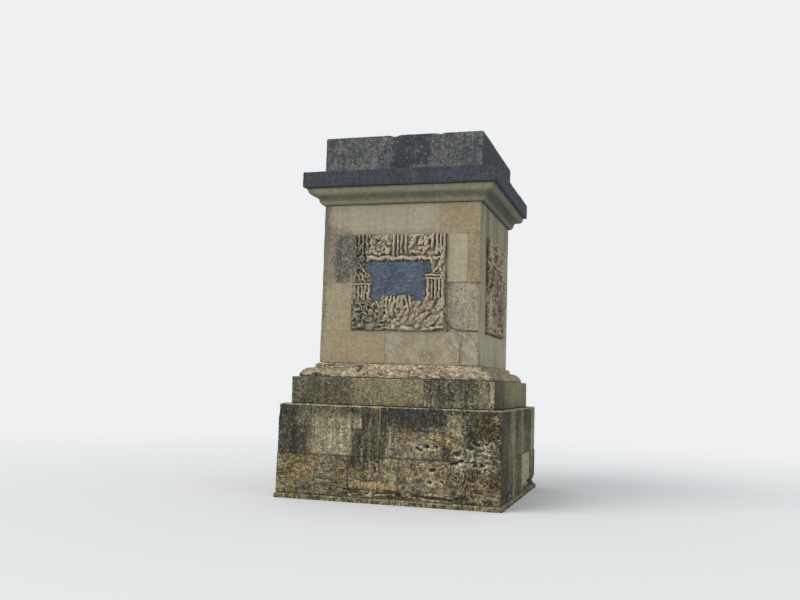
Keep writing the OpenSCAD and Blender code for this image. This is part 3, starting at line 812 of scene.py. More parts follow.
def die_form(s):
    """Form of the die's stones: tight joints, one rough stone that stands proud at
    the right of the front panel, a pecked one at its left, and under it stones
    that are worn, split and hacked."""
    u, z, p, own, front = s.u, s.z, s.p, s.own, s.front
    in_rough = front & (u > 0.70) & (z > 2.405) & (z < 3.115)
    foot = 2.417 + 0.13 * np.exp(-(u - 0.715) / 0.075)
    gap = in_rough * bump(z, foot, 0.010)
    under = in_rough * fall(z, foot - 0.006, foot + 0.004)
    rounded = in_rough * fall(u, 0.725, 0.83) + 0.6 * in_rough * ease(z, 3.05, 3.11)
    rough = in_rough * (0.55 + 0.45 * ease(z, 2.58, 2.70)) * ease(u, 0.73, 0.76)
    dimple = pits(own, 0.085, 125, 0.55)
    pecked = patch(s, (-1.02, -0.72), (3.13, 3.81), 0.07)
    peck = cloud(own, 0.034, 131, 1)
    crack = bump(z, 3.105 - 0.5 * (1.19 - u), 0.008) * front * ease(u, 1.10, 1.15)
    crack = crack + spot_at(s, -1.15, 3.105, 0.05, 0.010, EAST)
    worn = patch(s, (-0.18, 1.2), (1.93, 2.40), 0.03)
    split = bump(u, SPLIT_U, 0.005) * front * ease(z, 1.93, 1.95) * fall(z, 2.22, 2.30)
    hacked = patch(s, (0.80, 1.2), (1.95, 2.40), 0.03)
    torn_u = u + 0.9 * s.ragged[0]
    slope = np.stack([torn_u + 0.8 * z, torn_u - z, 0 * u], -1)
    slanting = cloud(slope + 2, (0.045, 0.16, 1), 151)
    depth = (edges(s, 0.0018, 0.004, 127, 0.0030, 0.014) + 0.004 * cloud(p, 0.5, 121, 2)
             + 0.0015 * cloud(own, 0.03, 123, 2) + 0.016 * rounded + 0.016 * gap + 0.014 * under
             + rough * (0.012 * dimple + 0.008 * cloud(own, 0.05, 129))
             + pecked * 0.008 * ease(peck, 0.35, 0.70) + worn * 0.014 * cloud(own, 0.07, 133)
             + 0.02 * crack + 0.003 * one_of(s, 1)
             + 0.020 * hacked * ease(slanting, 0.38, 0.64) + 0.014 * split)
    # Painted shade: a shadow line along the rough stone's rounded foot, and darker in the crack,
    # the split and the pits
    hollow = 0.9 * gap + 0.8 * crack + 0.7 * split + 0.75 * rough * ease(dimple, 0.25, 0.60)
    return depth, SimpleNamespace(in_rough=in_rough, rough=rough, pecked=pecked, peck=peck,
                                  worn=worn, hacked=hacked, slanting=slanting, hollow=hollow)


def die_wear(s):
    """Smooth ashlar of the die, warm and pale in bands, with stained single stones."""
    u, z, p, front = s.u, s.z, s.p, s.front
    depth, form = die_form(s)
    run = drift(1, p + 9, (0.12, 0.12, 1.1), 141)
    bedding = drift(1, p + 4, (0.9, 0.9, 0.035), 149)
    left_edge = front * fall(u, -1.19, -1.05) + (s.side == WEST) * ease(u, 1.05, 1.19)
    left_part = front * fall(u, -1.15, -0.6) * ease(z, 2.2, 2.6)
    dark_left = patch(s, (-1.2, -0.72), (3.12, 3.95), 0.10)
    stain = spot_at(s, 0.10, 2.18, 0.20, 0.10) + spot_at(s, 0.45, 2.08, 0.18, 0.08)
    fresh = patch(s, (0.735, 1.005), (3.125, 3.81), 0.010)
    rusty = patch(s, (1.01, 1.2), (3.12, 3.82), 0.012)
    clean = patch(s, (-1.15, -0.19), (1.93, 2.40), 0.03)
    ochre_top = patch(s, (0.55, 1.2), (3.84, 4.20), 0.10)
    ochre_foot = patch(s, (-0.85, -0.2), (1.93, 2.33), 0.12)
    pale_top = patch(s, (-1.1, 0.6), (3.84, 4.28), 0.10)
    beside = front * ease(u, 0.96, 1.0) * ease(z, 3.11, 3.12) * fall(z, 3.82, 3.83)
    return depth, stained(
        dict(crust=0.09 + drift(0.25, p, 0.4, 143),
             warm=0.42 + drift(0.4, p, 0.5, 145) + 0.35 * bedding,
             pale=0.18 + 0.3 * run + 0.35 * bedding, moss=0.15 + 0.25 * fall(z, 1.95, 2.1),
             hollow=form.hollow + 0.7 * beside * np.exp(-s.joint / 0.004),
             seam=seam(s, 0.006), rough=0.10 + 0.22 * form.rough, runs=0.2, calm=0),
        # Hollow on the pecked and hacked stones is painted shade in their pecks and grooves
        (form.pecked, dict(crust=0.50 - 0.15 * ease(0.48 - form.peck, 0.0, 0.12), warm=-0.25,
                           pale=0.20 * ease(0.45 - form.peck, 0.0, 0.12), rough=1.1,
                           hollow=0.45 * ease(form.peck, 0.45, 0.75))),
        # On the rough stone, the extra crust towards its left side beside the panel and towards
        # its foot is painted shade
        (form.in_rough, dict(crust=0.22 + 0.15 * fall(z, 2.6, 2.9) + 0.15 * fall(u, 0.74, 0.86),
                             warm=-0.35, pale=0.30)),
        (form.worn, dict(pale=1.2 * (cloud(s.own, 0.07, 147) - 0.32), rough=0.15, calm=0.3)),
        (form.hacked, dict(warm=0.15, pale=0.15, hollow=0.22 * ease(form.slanting, 0.50, 0.66))),
        (left_edge, dict(crust=0.35)),
        (left_part, dict(crust=0.20 + 0.08 * ease(z, 3.2, 3.8))),
        (dark_left, dict(crust=0.22)),
        (stain, dict(crust=0.30)),
        (rusty, dict(crust=0.22, warm=0.35)),
        (ochre_top, dict(warm=0.45)),
        (ochre_foot, dict(warm=0.35)),
        (spot_at(s, -0.42, 2.26, 0.07, 0.05), dict(warm=0.5)),
        (fresh, dict(warm=-0.4, pale=0.32)),
        (pale_top, dict(pale=0.35)),
        (clean, dict(crust=-0.12, warm=0.15, pale=0.08)),
        (s.east, dict(crust=0.30 * ease(z, 3.1, 4.0) + 0.9 * run + 0.08, warm=-0.35,
                      pale=0.45 * fall(z, 2.3, 3.2), runs=0.6)))


def cornice_wear(s):
    """Cornice moulding: crisp, under the shelter of the corona. Its hollow is darker
    with soot and painted shade, its ovolo and bead are paler, partly as painted
    highlight, and a painted shadow line runs along its foot.
    """
    low = s.z - CORNICE_Z
    run = drift(1, s.p + 11, (0.1, 0.1, 0.4), 153)
    depth = edges(s, 0.0015, 0.003, 157, 0.003, 0.012) + 0.003 * cloud(s.p, 0.3, 151)
    return depth, stained(
        # Crust in the hollow is soot and painted shade, pale on the ovolo and bead is partly
        # painted highlight, and hollow along the foot is a painted shadow line
        dict(crust=0.12 + 0.46 * bump(low, 0.098, 0.035) + 0.2 * run, warm=0.25 + 0.4 * run,
             pale=0.15 + 0.30 * (low > 0.13) + 0.2 * (low < 0.05), moss=0.5,
             hollow=0.6 * fall(low, 0.0, 0.012), seam=0.5 * seam(s, 0.006), rough=0.15, runs=0.3),
        (s.east, dict(crust=0.30 + 0.15 * cloud(s.p, 0.5, 155, 2), moss=0.3)),
        (patch(s, (-1.6, -1.30), (4.2, 4.6), 0.1), dict(crust=0.4)))


def crown_wear(s):
    """Corona and top course: black and grey crust with pale lichen and faint runs."""
    chip = spot_at(s, -0.12, TOP_Z, 0.05, 0.02) + spot_at(s, 0.57, TOP_Z, 0.03, 0.012)
    depth = (edges(s, 0.003, 0.004, 167, 0.004, 0.014) + 0.004 * cloud(s.p, 0.4, 161, 2)
             + 0.004 * cloud(s.own, 0.04, 163) + 0.006 * pits(s.own, 0.09, 165, 0.15)
             + 0.022 * chip + 0.003 * one_of(s, 1))
    run = cloud(s.p + 13, (0.09, 0.09, 0.9), 171)
    washed = ease(run, 0.55, 0.7)
    above = s.z > 4.745
    # Hollow is painted shade in the two chips along the top edge
    return depth, stained(
        dict(crust=0.54 + drift(0.28, s.p, 0.3, 173) + 0.3 * (run - 0.5),
             warm=0.20 + drift(0.4, s.p, 0.25, 175), pale=0.16,
             moss=0.5 * ease(s.up, 0.3, 0.9) + 0.20, hollow=0.4 * chip,
             seam=0.6 * seam(s, 0.006), speck=0, rough=0.25, runs=0.10, calm=0.30),
        (above, dict(crust=-0.15 * washed, warm=0.10, pale=0.2 * washed, speck=0.9, runs=0.08)),
        (~above, dict(crust=0.26, speck=0.15, calm=0.40)),
        (above & s.east, dict(crust=0.46)),
        (patch(s, (-0.145, 0.42), (4.80, 5.4), 0.05), dict(crust=0.42)),
        (above * fall(s.z, 4.76, 4.95), dict(crust=-0.20, pale=0.15)),
        (spot_at(s, 0.47, 5.0, 0.05, 0.2), dict(pale=0.3)),
        (above * fall(s.low, 0.004, 0.016), dict(crust=-0.5, pale=0.4)))


def footing_wear(s):
    """Footing: low, lumpy and mossy, pale along its upper edge."""
    depth = edges(s, 0, 0.007, 187)
    depth = depth + 0.012 * cloud(s.p, 0.2, 181) + 0.006 * cloud(s.p, 0.04, 183, 2)
    edge = fall(s.high, 0.0, 0.03)
    return depth, stained(
        dict(crust=0.40 + drift(0.6, s.p, 0.2, 185), warm=0.35, pale=0.2, moss=0.85, tone=0.5,
             speck=0.3, rough=0.8),
        (edge, dict(crust=-0.2, pale=0.35, moss=-0.3)))


# Carved panels: u along the side and v up from the bed joint of the panel

PANEL_LEFT, PANEL_RIGHT = -0.720, 0.715
PANEL_RISE, PANEL_DROP = 0.705, 0.710
CARVING_OUT = -float(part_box("front_panel_lower")[0].y) - DIE

# The tablet's seat: half-widths and heights of its outline, and its bottom over the die
EAR, BODY, NOTCH = 0.478, 0.403, 0.237
SEAT_TOP, SEAT_SHOULDER, SEAT_FOOT, SEAT_NOTCH = 0.303, 0.132, -0.278, -0.195
SEAT_OUT = 0.0075

# The tablet: how far it stands over the die where stains are laid, and the gap round it
TABLET_OUT = 0.05
TABLET_GAP = 0.003

# Spacing of the points of the panel on each side and of a tablet, and its least
PANEL_SPACING = (0.0065, 0.0072, 0.0110, 0.0110)
TABLET_SPACING = 0.010
SEAT_GAP = 0.002

# How far inside the die's face a panel's surface is closed
SKIRT = 0.06

# How far the forms of the carving are shaken out of place, and their first seed
SHAKE = 0.010
CARVING_SEED = 310

# Tangled strands of the carving: ranges along and upwards, heading and how far it
# turns from that, spacing, and ranges of radius, length and height
TANGLES = (
    ((-0.71, 0.00), (-0.64, -0.27), 1.4, 1.5, 0.100, (0.026, 0.044), (0.05, 0.14), (0.045, 0.078)),
    ((-0.70, 0.10), (-0.64, -0.27), 2.4, 1.0, 0.135, (0.012, 0.022), (0.12, 0.22), (0.060, 0.084)),
    ((-0.71, 0.67), (-0.69, -0.66), 0.1, 0.8, 0.105, (0.036, 0.052), (0.05, 0.10), (0.060, 0.086)),
    ((-0.46, -0.15), (0.40, 0.68), 0.3, 1.6, 0.110, (0.026, 0.042), (0.04, 0.11), (0.045, 0.078)),
    ((-0.46, -0.15), (0.40, 0.68), 1.2, 1.0, 0.170, (0.014, 0.020), (0.08, 0.14), (0.060, 0.080)),
    ((0.15, 0.44), (0.39, 0.66), 0.75, 0.6, 0.100, (0.024, 0.040), (0.10, 0.18), (0.050, 0.084)),
    ((-0.71, -0.50), (-0.01, 0.48), 1.7, 0.8, 0.092, (0.018, 0.034), (0.08, 0.16), (0.045, 0.080)),
    ((0.50, 0.69), (0.14, 0.48), 1.1, 0.9, 0.095, (0.022, 0.038), (0.06, 0.14), (0.050, 0.082)))

# Spacing of their rows, as a share of that along a row
ROW_SHARE = 0.62

# Curls, and the knuckles beside the tablet: centre, size and the way they turn, and
# for the knuckles radius and height
CURLS = (((-0.38, 0.60), 0.060, 1), ((-0.24, 0.47), 0.045, -1), ((0.34, 0.56), 0.055, 1),
         ((-0.60, 0.14), 0.060, 1), ((-0.57, 0.34), 0.040, -1), ((0.62, 0.30), 0.050, -1),
         ((0.64, 0.44), 0.045, 1), ((-0.50, -0.50), 0.065, -1))
KNUCKLES = (((-0.455, 0.10), 0.038, 1, 0.020, 0.076), ((0.650, 0.078), 0.042, -1, 0.024, 0.080))

# Fillets beside the tablet: both ends, height and radius
FILLETS = ((-0.665, -0.415, -0.032, 0.020), (0.415, 0.690, 0.050, 0.021),
           (0.415, 0.690, 0.096, 0.020))


def path_from(rng, start, heading, length, bend, wiggle):
    """A wandering line: its heading changes by bend over its length, plus a sine
    of one and a half waves."""
    t = np.linspace(0, 1, 14)
    angle = heading + bend * t + wiggle * np.sin(2 * np.pi * (1.5 * t + rng.random()))
    stride = length / 13 * np.stack([np.cos(angle), np.sin(angle)], -1)
    return np.asarray(start) + np.concatenate([[[0, 0]], np.cumsum(stride[1:], 0)])


def lay(field, at, path, radius, crest, square=2.0):
    """Lays a rounded strand on the relief. At d from the path the height is
    crest * sqrt(1 - (d / r)^square), and the higher of old and new stays. The
    radius and the crest may change along the path, and `at` holds the places."""
    radius, crest = (np.broadcast_to(np.asarray(x, float), (len(path),)) for x in (radius, crest))
    reach = radius.max() + 2 * SHAKE
    low, high = path.min(0) - reach, path.max(0) + reach
    j0, j1 = np.searchsorted(at[0, :, 0], [low[0], high[0]])
    i0, i1 = np.searchsorted(at[:, 0, 1], [low[1], high[1]])
    if i0 >= i1 or j0 >= j1:
        return
    here = at[i0:i1, j0:j1, None, :]
    a, b = path[None, None, :-1], path[None, None, 1:]
    ab = b - a
    t = np.clip(((here - a) * ab).sum(-1) / np.maximum((ab**2).sum(-1), 1e-12), 0, 1)
    d = np.linalg.norm(here - a - t[..., None] * ab, axis=-1)
    rr = radius[:-1] * (1 - t) + radius[1:] * t
    cc = crest[:-1] * (1 - t) + crest[1:] * t
    height = (cc * np.sqrt(np.clip(1 - (d / rr) ** square, 0, None))).max(-1)
    field[i0:i1, j0:j1] = np.maximum(field[i0:i1, j0:j1], height)


def carve(side, u, v):
    """Relief of one panel over its die, in metres: reeds in bunches, a rope over the
    tablet, knuckles and curls at its sides, leaves under its notch, and tangled
    roots that thicken towards the lower edge."""
    rng = np.random.default_rng(CARVING_SEED + side)
    uu, vv = np.meshgrid(u, v)
    flat = np.stack([uu, vv, np.full(uu.shape, float(side))], -1)
    at = np.stack([place + drift(2 * SHAKE, flat, 0.055, seed, 2)
                   for place, seed in ((uu, 231), (vv, 237))], -1)
    field = 0.012 + 0.036 * cloud(flat, 0.08, 221)

    def strand(start, heading, length, bend, radius, crest, wiggle):
        """A wandering root or stem, thinner and lower at both ends."""
        t = np.linspace(0, 1, 14)
        taper = radius * np.interp(t, [0, 0.2, 0.8, 1], [0.7, 1, 1, 0.6])
        tops = crest * np.interp(t, [0, 0.15, 0.85, 1], [0.75, 1, 1, 0.7])
        lay(field, at, path_from(rng, start, heading, length, bend, wiggle), taper, tops)

    def tangle(x, y, heading, spread, spacing, radius, length, crest):
        """Strands from a grid of places shaken at random, within x and y ranges."""
        for y0 in np.arange(*y, ROW_SHARE * spacing):
            for x0 in np.arange(*x, spacing):
                size = rng.uniform(*radius)
                turned = heading + spread * (2 * rng.random() - 1)
                start = x0 + 0.6 * spacing * rng.random(), y0 + 0.4 * spacing * rng.random()
                strand(start, turned, rng.uniform(*length), 2.2 * (rng.random() - 0.5), size,
                       rng.uniform(*crest), 0.35)

    def reeds(places, top, foot, sway=0.004):
        """Upright reeds that sway a little, one at each place."""
        for place in places:
            line = np.stack([place + sway * np.cumsum(rng.standard_normal(9)) / 2,
                             np.linspace(top, foot + 0.04 * rng.random(), 9)], -1)
            wide = 0.024 * (0.75 + 0.35 * rng.random()) * np.linspace(1, 0.85, 9)
            lay(field, at, line, wide, 0.070 + 0.012 * (rng.random() - 0.5))

    def curl(centre, size, way, radius=0.022, crest=0.070):
        """A coil that tightens and rises to its middle."""
        t = np.linspace(0, 1, 20)
        angle = 6.28 * rng.random() + way * 2 * np.pi * 0.85 * t
        reach = size * (1.15 - 0.95 * t)
        line = np.asarray(centre) + np.stack([reach * np.cos(angle), reach * np.sin(angle)], -1)
        lay(field, at, line, radius * (1 - 0.25 * t), crest + 0.008 * t)

    def leaf(start, heading, length, radius, crest):
        """Pointed at both ends, and rising towards its tip over the one behind it."""
        t = np.linspace(0, 1, 14)
        outline = radius * np.sin(np.pi * (0.06 + 0.86 * t)) ** 0.7
        middle = path_from(rng, start, heading, length, 0.9 * (rng.random() - 0.5), 0.15)
        lay(field, at, middle, outline, crest * (0.55 + 0.45 * t), 3.0)

    # Knots at the left, leaves that climb to the right, a roll along the foot, and
    # what fills the upper corners and the sides
    for bunch in TANGLES[:2]:
        tangle(*bunch)
    for y in np.arange(-0.67, -0.32, 0.095):
        for x in np.arange(-0.18, 0.60, 0.140):
            leaf((x + 0.10 * rng.random(), y + 0.06 * rng.random()), 0.45 + 0.8 * rng.random(),
                 0.17 + 0.10 * rng.random(), 0.038 + 0.020 * rng.random(),
                 0.060 + 0.026 * rng.random())
    for bunch in TANGLES[2:]:
        tangle(*bunch)
    for place in CURLS:
        curl(*place)
    lower = -0.60 if side == EAST else -0.26
    reeds((-0.672, -0.612, -0.552, -0.494), 0.72, 0.44, 0.008)
    reeds((-0.082, -0.022, 0.040, 0.102), 0.72, 0.39)
    reeds((0.500, 0.560, 0.620, 0.678), 0.72, 0.46)
    reeds((-0.660, -0.606, -0.552, -0.498, -0.446), -0.065, lower)
    reeds((0.448, 0.502, 0.556, 0.610, 0.664), 0.02, lower)
    for x in np.arange(-0.21, 0.22, 0.054):
        strand((x, SEAT_NOTCH), -1.57 + 1.5 * x, 0.14 + 0.09 * rng.random(),
               0.5 * (rng.random() - 0.5), 0.024, 0.072, 0.12)
    for x0, x1, y, r in FILLETS:
        lay(field, at, np.array([[x0, y], [x1, y]]), r, 0.072)
    for place in KNUCKLES:
        curl(*place)
    # Rope over the tablet
    x = np.linspace(-0.47, 0.47, 46)
    rope = np.stack([x, 0.350 + 0.014 * np.sin(x * 26)], -1)
    lay(field, at, rope, 0.034 + 0.006 * np.sin(x * 41), 0.072)
    for x in np.arange(-0.45, 0.45, 0.068):
        strand((x, 0.325), 0.7, 0.07, 0.2, 0.015, 0.084, 0)
    return field * (0.30 + 0.85 * bosses(uu, vv)) if side == EAST else field


def bosses(uu, vv):
    """Great lumps on the right side, whose carving stands out by a bunch at a time."""
    return ease(cloud(np.stack([uu, vv, 0 * uu], -1), (0.17, 0.12, 1), 241, 2), 0.36, 0.60)


def inside_seat(u, v):
    """True within the tablet's seat: between its ears above the shoulder, between
    the body's sides below it, and outside the notch."""
    ear = (np.abs(u) < EAR) & (v > SEAT_SHOULDER) & (v < SEAT_TOP)
    body = (np.abs(u) < BODY) & (v > SEAT_FOOT) & (v < SEAT_TOP)
    notch = (np.abs(u) < NOTCH) & (v < SEAT_NOTCH)
    return (ear | body) & ~notch


def blur(field, width=5):
    """Mean over a square window, by running sums along both axes."""
    span = 2 * width + 1
    for axis in (0, 1):
        padded = np.concatenate([np.repeat(np.take(field, [0], axis), width + 1, axis), field,
                                 np.repeat(np.take(field, [-1], axis), width, axis)], axis)
        total = np.cumsum(padded, axis)
        count = np.arange(field.shape[axis])
        field = (np.take(total, count + span, axis) - np.take(total, count, axis)) / span
    return field


def worn_relief(side, u, v):
    """The carving as weather has left it: lower, with ragged outer edges and an
    open bed joint."""
    uu, vv = np.meshgrid(u, v)
    flat = np.stack([uu, vv, np.full(uu.shape, 3.0 * side)], -1)
    wear = 0.011 * cloud(flat, 0.030, 201) + 0.006 * cloud(flat, 0.2, 205, 2)
    ragged = 0.030 * cloud(flat, 0.075, 207, 2)
    lobes = 0.045 * ease(cloud(flat, 0.13, 209, 1), 0.45, 0.80)
    across = np.minimum(uu - PANEL_LEFT - 0.3 * ragged, PANEL_RIGHT - 0.012 - uu - ragged)
    upwards = np.minimum(PANEL_RISE - vv, vv + PANEL_DROP - 0.4 * ragged - lobes)
    joint = 0.010 * np.exp(-np.abs(vv) / 0.006)
    edge = ease(np.minimum(across, upwards), -0.004, 0.020) ** 0.5
    return np.clip((carve(side, u, v) - wear - joint) * edge, 0.001, CARVING_OUT - 0.0005)


def panel_stains(side, uu, vv, above_mean):
    """Stains of a carved panel by how far a place stands above those around it:
    crests painted pale as painted highlight and hollows painted dark as painted shade,
    with soot down the left of the front one, thickest in the recesses, there partly
    as painted shade."""
    flat = np.stack([uu, vv, np.full(uu.shape, 3.0 * side)], -1)
    # Places lower than those around them, where soot gathers and shade is painted
    recess_soot_and_shade = fall(above_mean, -0.006, 0.010)
    crust = 0.20 + drift(0.5, flat, 0.35, 211)
    warm = 0.42 + drift(0.5, flat, 0.2, 215, 2)
    if side == FRONT:
        sooty = 1.05 * bump(uu, -0.68, 0.24) * bump(vv, 0.40, 0.50)
        sooty = sooty + 0.36 * fall(uu, -0.65, 0.0) * fall(vv, -0.35, -0.1)
        crust = crust + sooty * (0.50 + 0.50 * recess_soot_and_shade) + 0.15 * fall(vv, -0.45, -0.2)
        warm = warm - 0.40 * sooty
    if side == EAST:
        crust = crust + 0.25 + 0.35 * fall(uu, -0.45, 0.2) * ease(vv, -0.25, 0.15) * recess_soot_and_shade
        # A dark strip along the foot, under the bottom roll, is painted shadow
        crust = crust + 0.5 * fall(vv, -0.70, -0.66)
    # Pale on the crests is painted highlight, and hollow where a place lies below those around it
    # is painted shade
    return settled(dict(crust=crust, warm=warm, moss=0.05, tone=0.5, rough=0.35, runs=0.1,
                        pale=0.25 + (80 if side == EAST else 60) * above_mean,
                        hollow=(-above_mean - 0.001) / 0.017), uu.shape)


def closed_behind(side, points, grid):
    """A grid's points and faces with a skirt from its rim to inside the die, and the
    fan that closes the skirt."""
    index = np.arange(len(points)).reshape(grid)
    rim = np.concatenate([index[0, :-1], index[:-1, -1], index[-1, :0:-1], index[:0:-1, 0]])
    behind = points[rim]
    behind = behind + OUTWARD[side] * (DIE - SKIRT - behind @ OUTWARD[side])[:, None]
    back = len(points) + np.arange(len(rim))
    skirt = np.stack([np.roll(rim, -1), rim, back, np.roll(back, -1)], -1)
    pole = np.full(len(rim), len(points) + len(rim))
    fan = np.stack([np.roll(back, -1), back, pole], -1)
    points = np.concatenate([points, behind, behind.mean(0)[None]])
    return points, np.concatenate([grid_cells(index).reshape(-1, 4), skirt]), fan


def panel(side, is_upper):
    """Half of a carved panel, above or below the bed joint, as a grid over (u, v)
    raised by its relief round the tablet's seat."""
    upright = [PANEL_LEFT, -EAR, -BODY, -NOTCH, NOTCH, BODY, EAR, PANEL_RIGHT]
    level = ([0.0, SEAT_SHOULDER, SEAT_TOP, PANEL_RISE] if is_upper
             else [-PANEL_DROP, SEAT_FOOT, SEAT_NOTCH, 0.0])
    u, v = (lines(marks, PANEL_SPACING[side], [SEAT_GAP] * len(marks))
            for marks in (upright, level))
    uu, vv = np.meshgrid(u, v)
    relief = worn_relief(side, u, v)
    seat = inside_seat(uu, vv)
    filled = np.where(seat, TABLET_OUT, relief)
    points = on_side(side, uu, DIE + np.where(seat, SEAT_OUT, relief), vv + PANEL_JOINT_Z)
    points, quads, fan = closed_behind(side, points.reshape(-1, 3), uu.shape)
    stains = panel_stains(side, uu, vv, filled - blur(filled))
    hidden = np.zeros(len(points) - uu.size)
    return points, quads, fan, {key: np.append(value, hidden) for key, value in stains.items()}


def eroded_tablet(side, node):
    """A tablet worn into the same lumps as its panel: cells of a grid that lie
    inside its outline, raised in front by up to 34 mm and flat behind, and joined
    along the edges that only one cell has."""
    low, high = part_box(node)
    face, back = (float(np.dot(OUTWARD[side], corner)) for corner in (high, low))
    gap = TABLET_GAP
    upright = [gap - EAR, gap - BODY, -NOTCH - gap, NOTCH + gap, BODY - gap, EAR - gap]
    level = [SEAT_FOOT + gap, SEAT_NOTCH + gap, SEAT_SHOULDER + gap, SEAT_TOP - gap]
    u, v = (lines(marks, TABLET_SPACING, [SEAT_GAP] * len(marks)) for marks in (upright, level))
    uu, vv = np.meshgrid(u, v)
    flat = np.stack([uu, vv, 0 * uu], -1)
    raised = 0.034 * bosses(uu, vv) * (0.35 + 0.65 * cloud(flat, (0.05, 0.09, 1), 251))
    inside = inside_seat((uu[1:, 1:] + uu[:-1, :-1]) / 2, (vv[1:, 1:] + vv[:-1, :-1]) / 2)
    cells = grid_cells(np.arange(uu.size).reshape(uu.shape))[inside]
    edge = np.stack([cells, np.roll(cells, -1, 1)], -1).reshape(-1, 2)
    key = np.sort(edge, 1) @ [uu.size, 1]
    first, count = np.unique(key, return_index=True, return_counts=True)[1:]
    edge = edge[first[count == 1]]
    sides = np.stack([edge[:, 1], edge[:, 0], edge[:, 0] + uu.size, edge[:, 1] + uu.size], -1)
    quads = np.concatenate([cells, cells[:, ::-1] + uu.size, sides])
    points = np.concatenate([on_side(side, uu, height, vv + PANEL_JOINT_Z).reshape(-1, 3)
                             for height in (face + raised, np.full(uu.shape, back))])
    # Crust in the dips and the hollow are painted shade, and pale on the raised lumps is painted
    # highlight
    above_mean = raised - blur(raised)
    stains = settled(dict(crust=0.40 + 0.35 * fall(above_mean, -0.004, 0.006), warm=0.50,
                          pale=0.25 + 90 * above_mean, moss=0.05, tone=0, rough=0.5, runs=0.1,
                          hollow=-above_mean / 0.012), uu.shape)
    used, place = np.unique(quads, return_inverse=True)
    stains = {key: np.tile(value, 2)[used] for key, value in stains.items()}
    return points[used], place.reshape(quads.shape), np.zeros((0, 3), int), stains


# Materials


class Wire:
    """A socket of a shader tree. Arithmetic on it adds Math nodes."""

    def __init__(self, tree, socket=None):
        self.tree, self.socket = tree, socket

    def node(self, kind, settings=(), sockets=(), out=0):
        """Adds a node, with its settings first and then its sockets' values or
        links, and gives one of its outputs."""
        made = self.tree.nodes.new(kind)
        for name, value in dict(settings).items():
            setattr(made, name, value)
        for key, value in dict(sockets).items():
            if isinstance(value, Wire):
                self.tree.links.new(value.socket, made.inputs[key])
            else:
                made.inputs[key].default_value = value
        return Wire(self.tree, made.outputs[out] if len(made.outputs) else None)

    def maths(self, operation, first, second):
        return self.node("ShaderNodeMath", {"operation": operation}, {0: first, 1: second})

    def __add__(self, other):
        return self.maths("ADD", self, other)

    def __sub__(self, other):
        return self.maths("SUBTRACT", self, other)

    def __rsub__(self, other):
        return self.maths("SUBTRACT", other, self)

    def __mul__(self, other):
        return self.maths("MULTIPLY", self, other)

    __radd__, __rmul__ = __add__, __mul__

    def step(self, low, high):
        """0 below low and 1 above high, smooth between."""
        return self.node("ShaderNodeMapRange", {"interpolation_type": "SMOOTHSTEP"},
                         {"Value": self, "From Min": low, "From Max": high})

    def even(self, reach):
        """Spreads noise, which keeps near 0.5, over the whole of 0..1."""
        return self.step(0.5 - reach, 0.5 + reach)

    def mix(self, under, over):
        """The colour under where this mask is 0, and over where it is 1."""
        return self.node("ShaderNodeMix", {"data_type": "RGBA"}, {0: self, 6: under, 7: over}, 2)

    def noise(self, size, detail=3.0, stretch=(1, 1, 1), rough=0.55, shift=0.0, warp=0.0):
        """Noise in 0..1 of a size in metres, from this place, drawn out by stretch
        and torn by warp."""
        spread = [1 / (size * s) for s in stretch]
        place = self.node("ShaderNodeVectorMath", {"operation": "MULTIPLY_ADD"},
                          {0: self, 1: spread, 2: (shift, shift, shift)})
        return place.node("ShaderNodeTexNoise", (), {
            "Vector": place, "Scale": 1.0, "Detail": detail, "Roughness": rough,
            "Distortion": warp})

    def shaken(self, size, reach):
        """This place moved by up to reach, by a noise of the given size."""
        way = self.node("ShaderNodeTexNoise", (),
                        {"Vector": self, "Scale": 1 / size, "Detail": 2.0}, 1)
        return self.node("ShaderNodeVectorMath", {"operation": "MULTIPLY_ADD"},
                         {0: way, 1: (2 * reach,) * 3, 2: self})

    def cells(self, size, out="Distance"):
        """Distance to the nearest of random points about a size apart, or its colour."""
        return self.node("ShaderNodeTexVoronoi", (), {"Vector": self, "Scale": 1 / size}, out)


def colour(*rgb):
    """A colour with the fourth number that sockets ask for."""
    return (*rgb, 1.0)


def new_material(name):
    """A material, the start of its shader tree and the place on the object."""
    material = bpy.data.materials.new(name)
    material.use_nodes = True
    material.node_tree.nodes.clear()
    start = Wire(material.node_tree)
    return material, start, start.node("ShaderNodeTexCoord", (), (), "Object")


def tinge(base, mask, under, over):
    """Multiplies a colour by one that goes from under to over with a mask."""
    return base.node("ShaderNodeMix", {"data_type": "RGBA", "blend_type": "MULTIPLY"},
                     {0: 1.0, 6: base, 7: mask.mix(colour(*under), colour(*over))}, 2)


def grainy(base, grain, share):
    """Lightens and darkens a colour by noise, up to a share of itself."""
    return tinge(base, grain, [1 - share] * 3, [1 + share] * 3)


def finish_stone(start, base, height, lift, roughness):
    """Ends a stone material: colour, roughness and a bump of the given lift."""
    bump = start.node("ShaderNodeBump", (), {"Height": height, "Distance": lift, "Strength": 1.0})
    shader = start.node("ShaderNodeBsdfPrincipled", (), {
        "Base Color": base, "Roughness": roughness, "Normal": bump, "Specular IOR Level": 0.25})
    start.node("ShaderNodeOutputMaterial", (), {"Surface": shader})


def dots(place, size, share, radius):
    """Round spots about a size apart, of which a share is kept. Their radius is a
    share of the size too."""
    kept = place.node("ShaderNodeSeparateColor", (), {0: place.cells(size, "Color")})
    return (1 - place.cells(size).step(0.5 * radius, radius)) * kept.step(1 - share, 1.03 - share)


def times(tone, *by):
    """A colour with each of its parts multiplied."""
    return colour(*(c * k for c, k in zip(tone, by)))


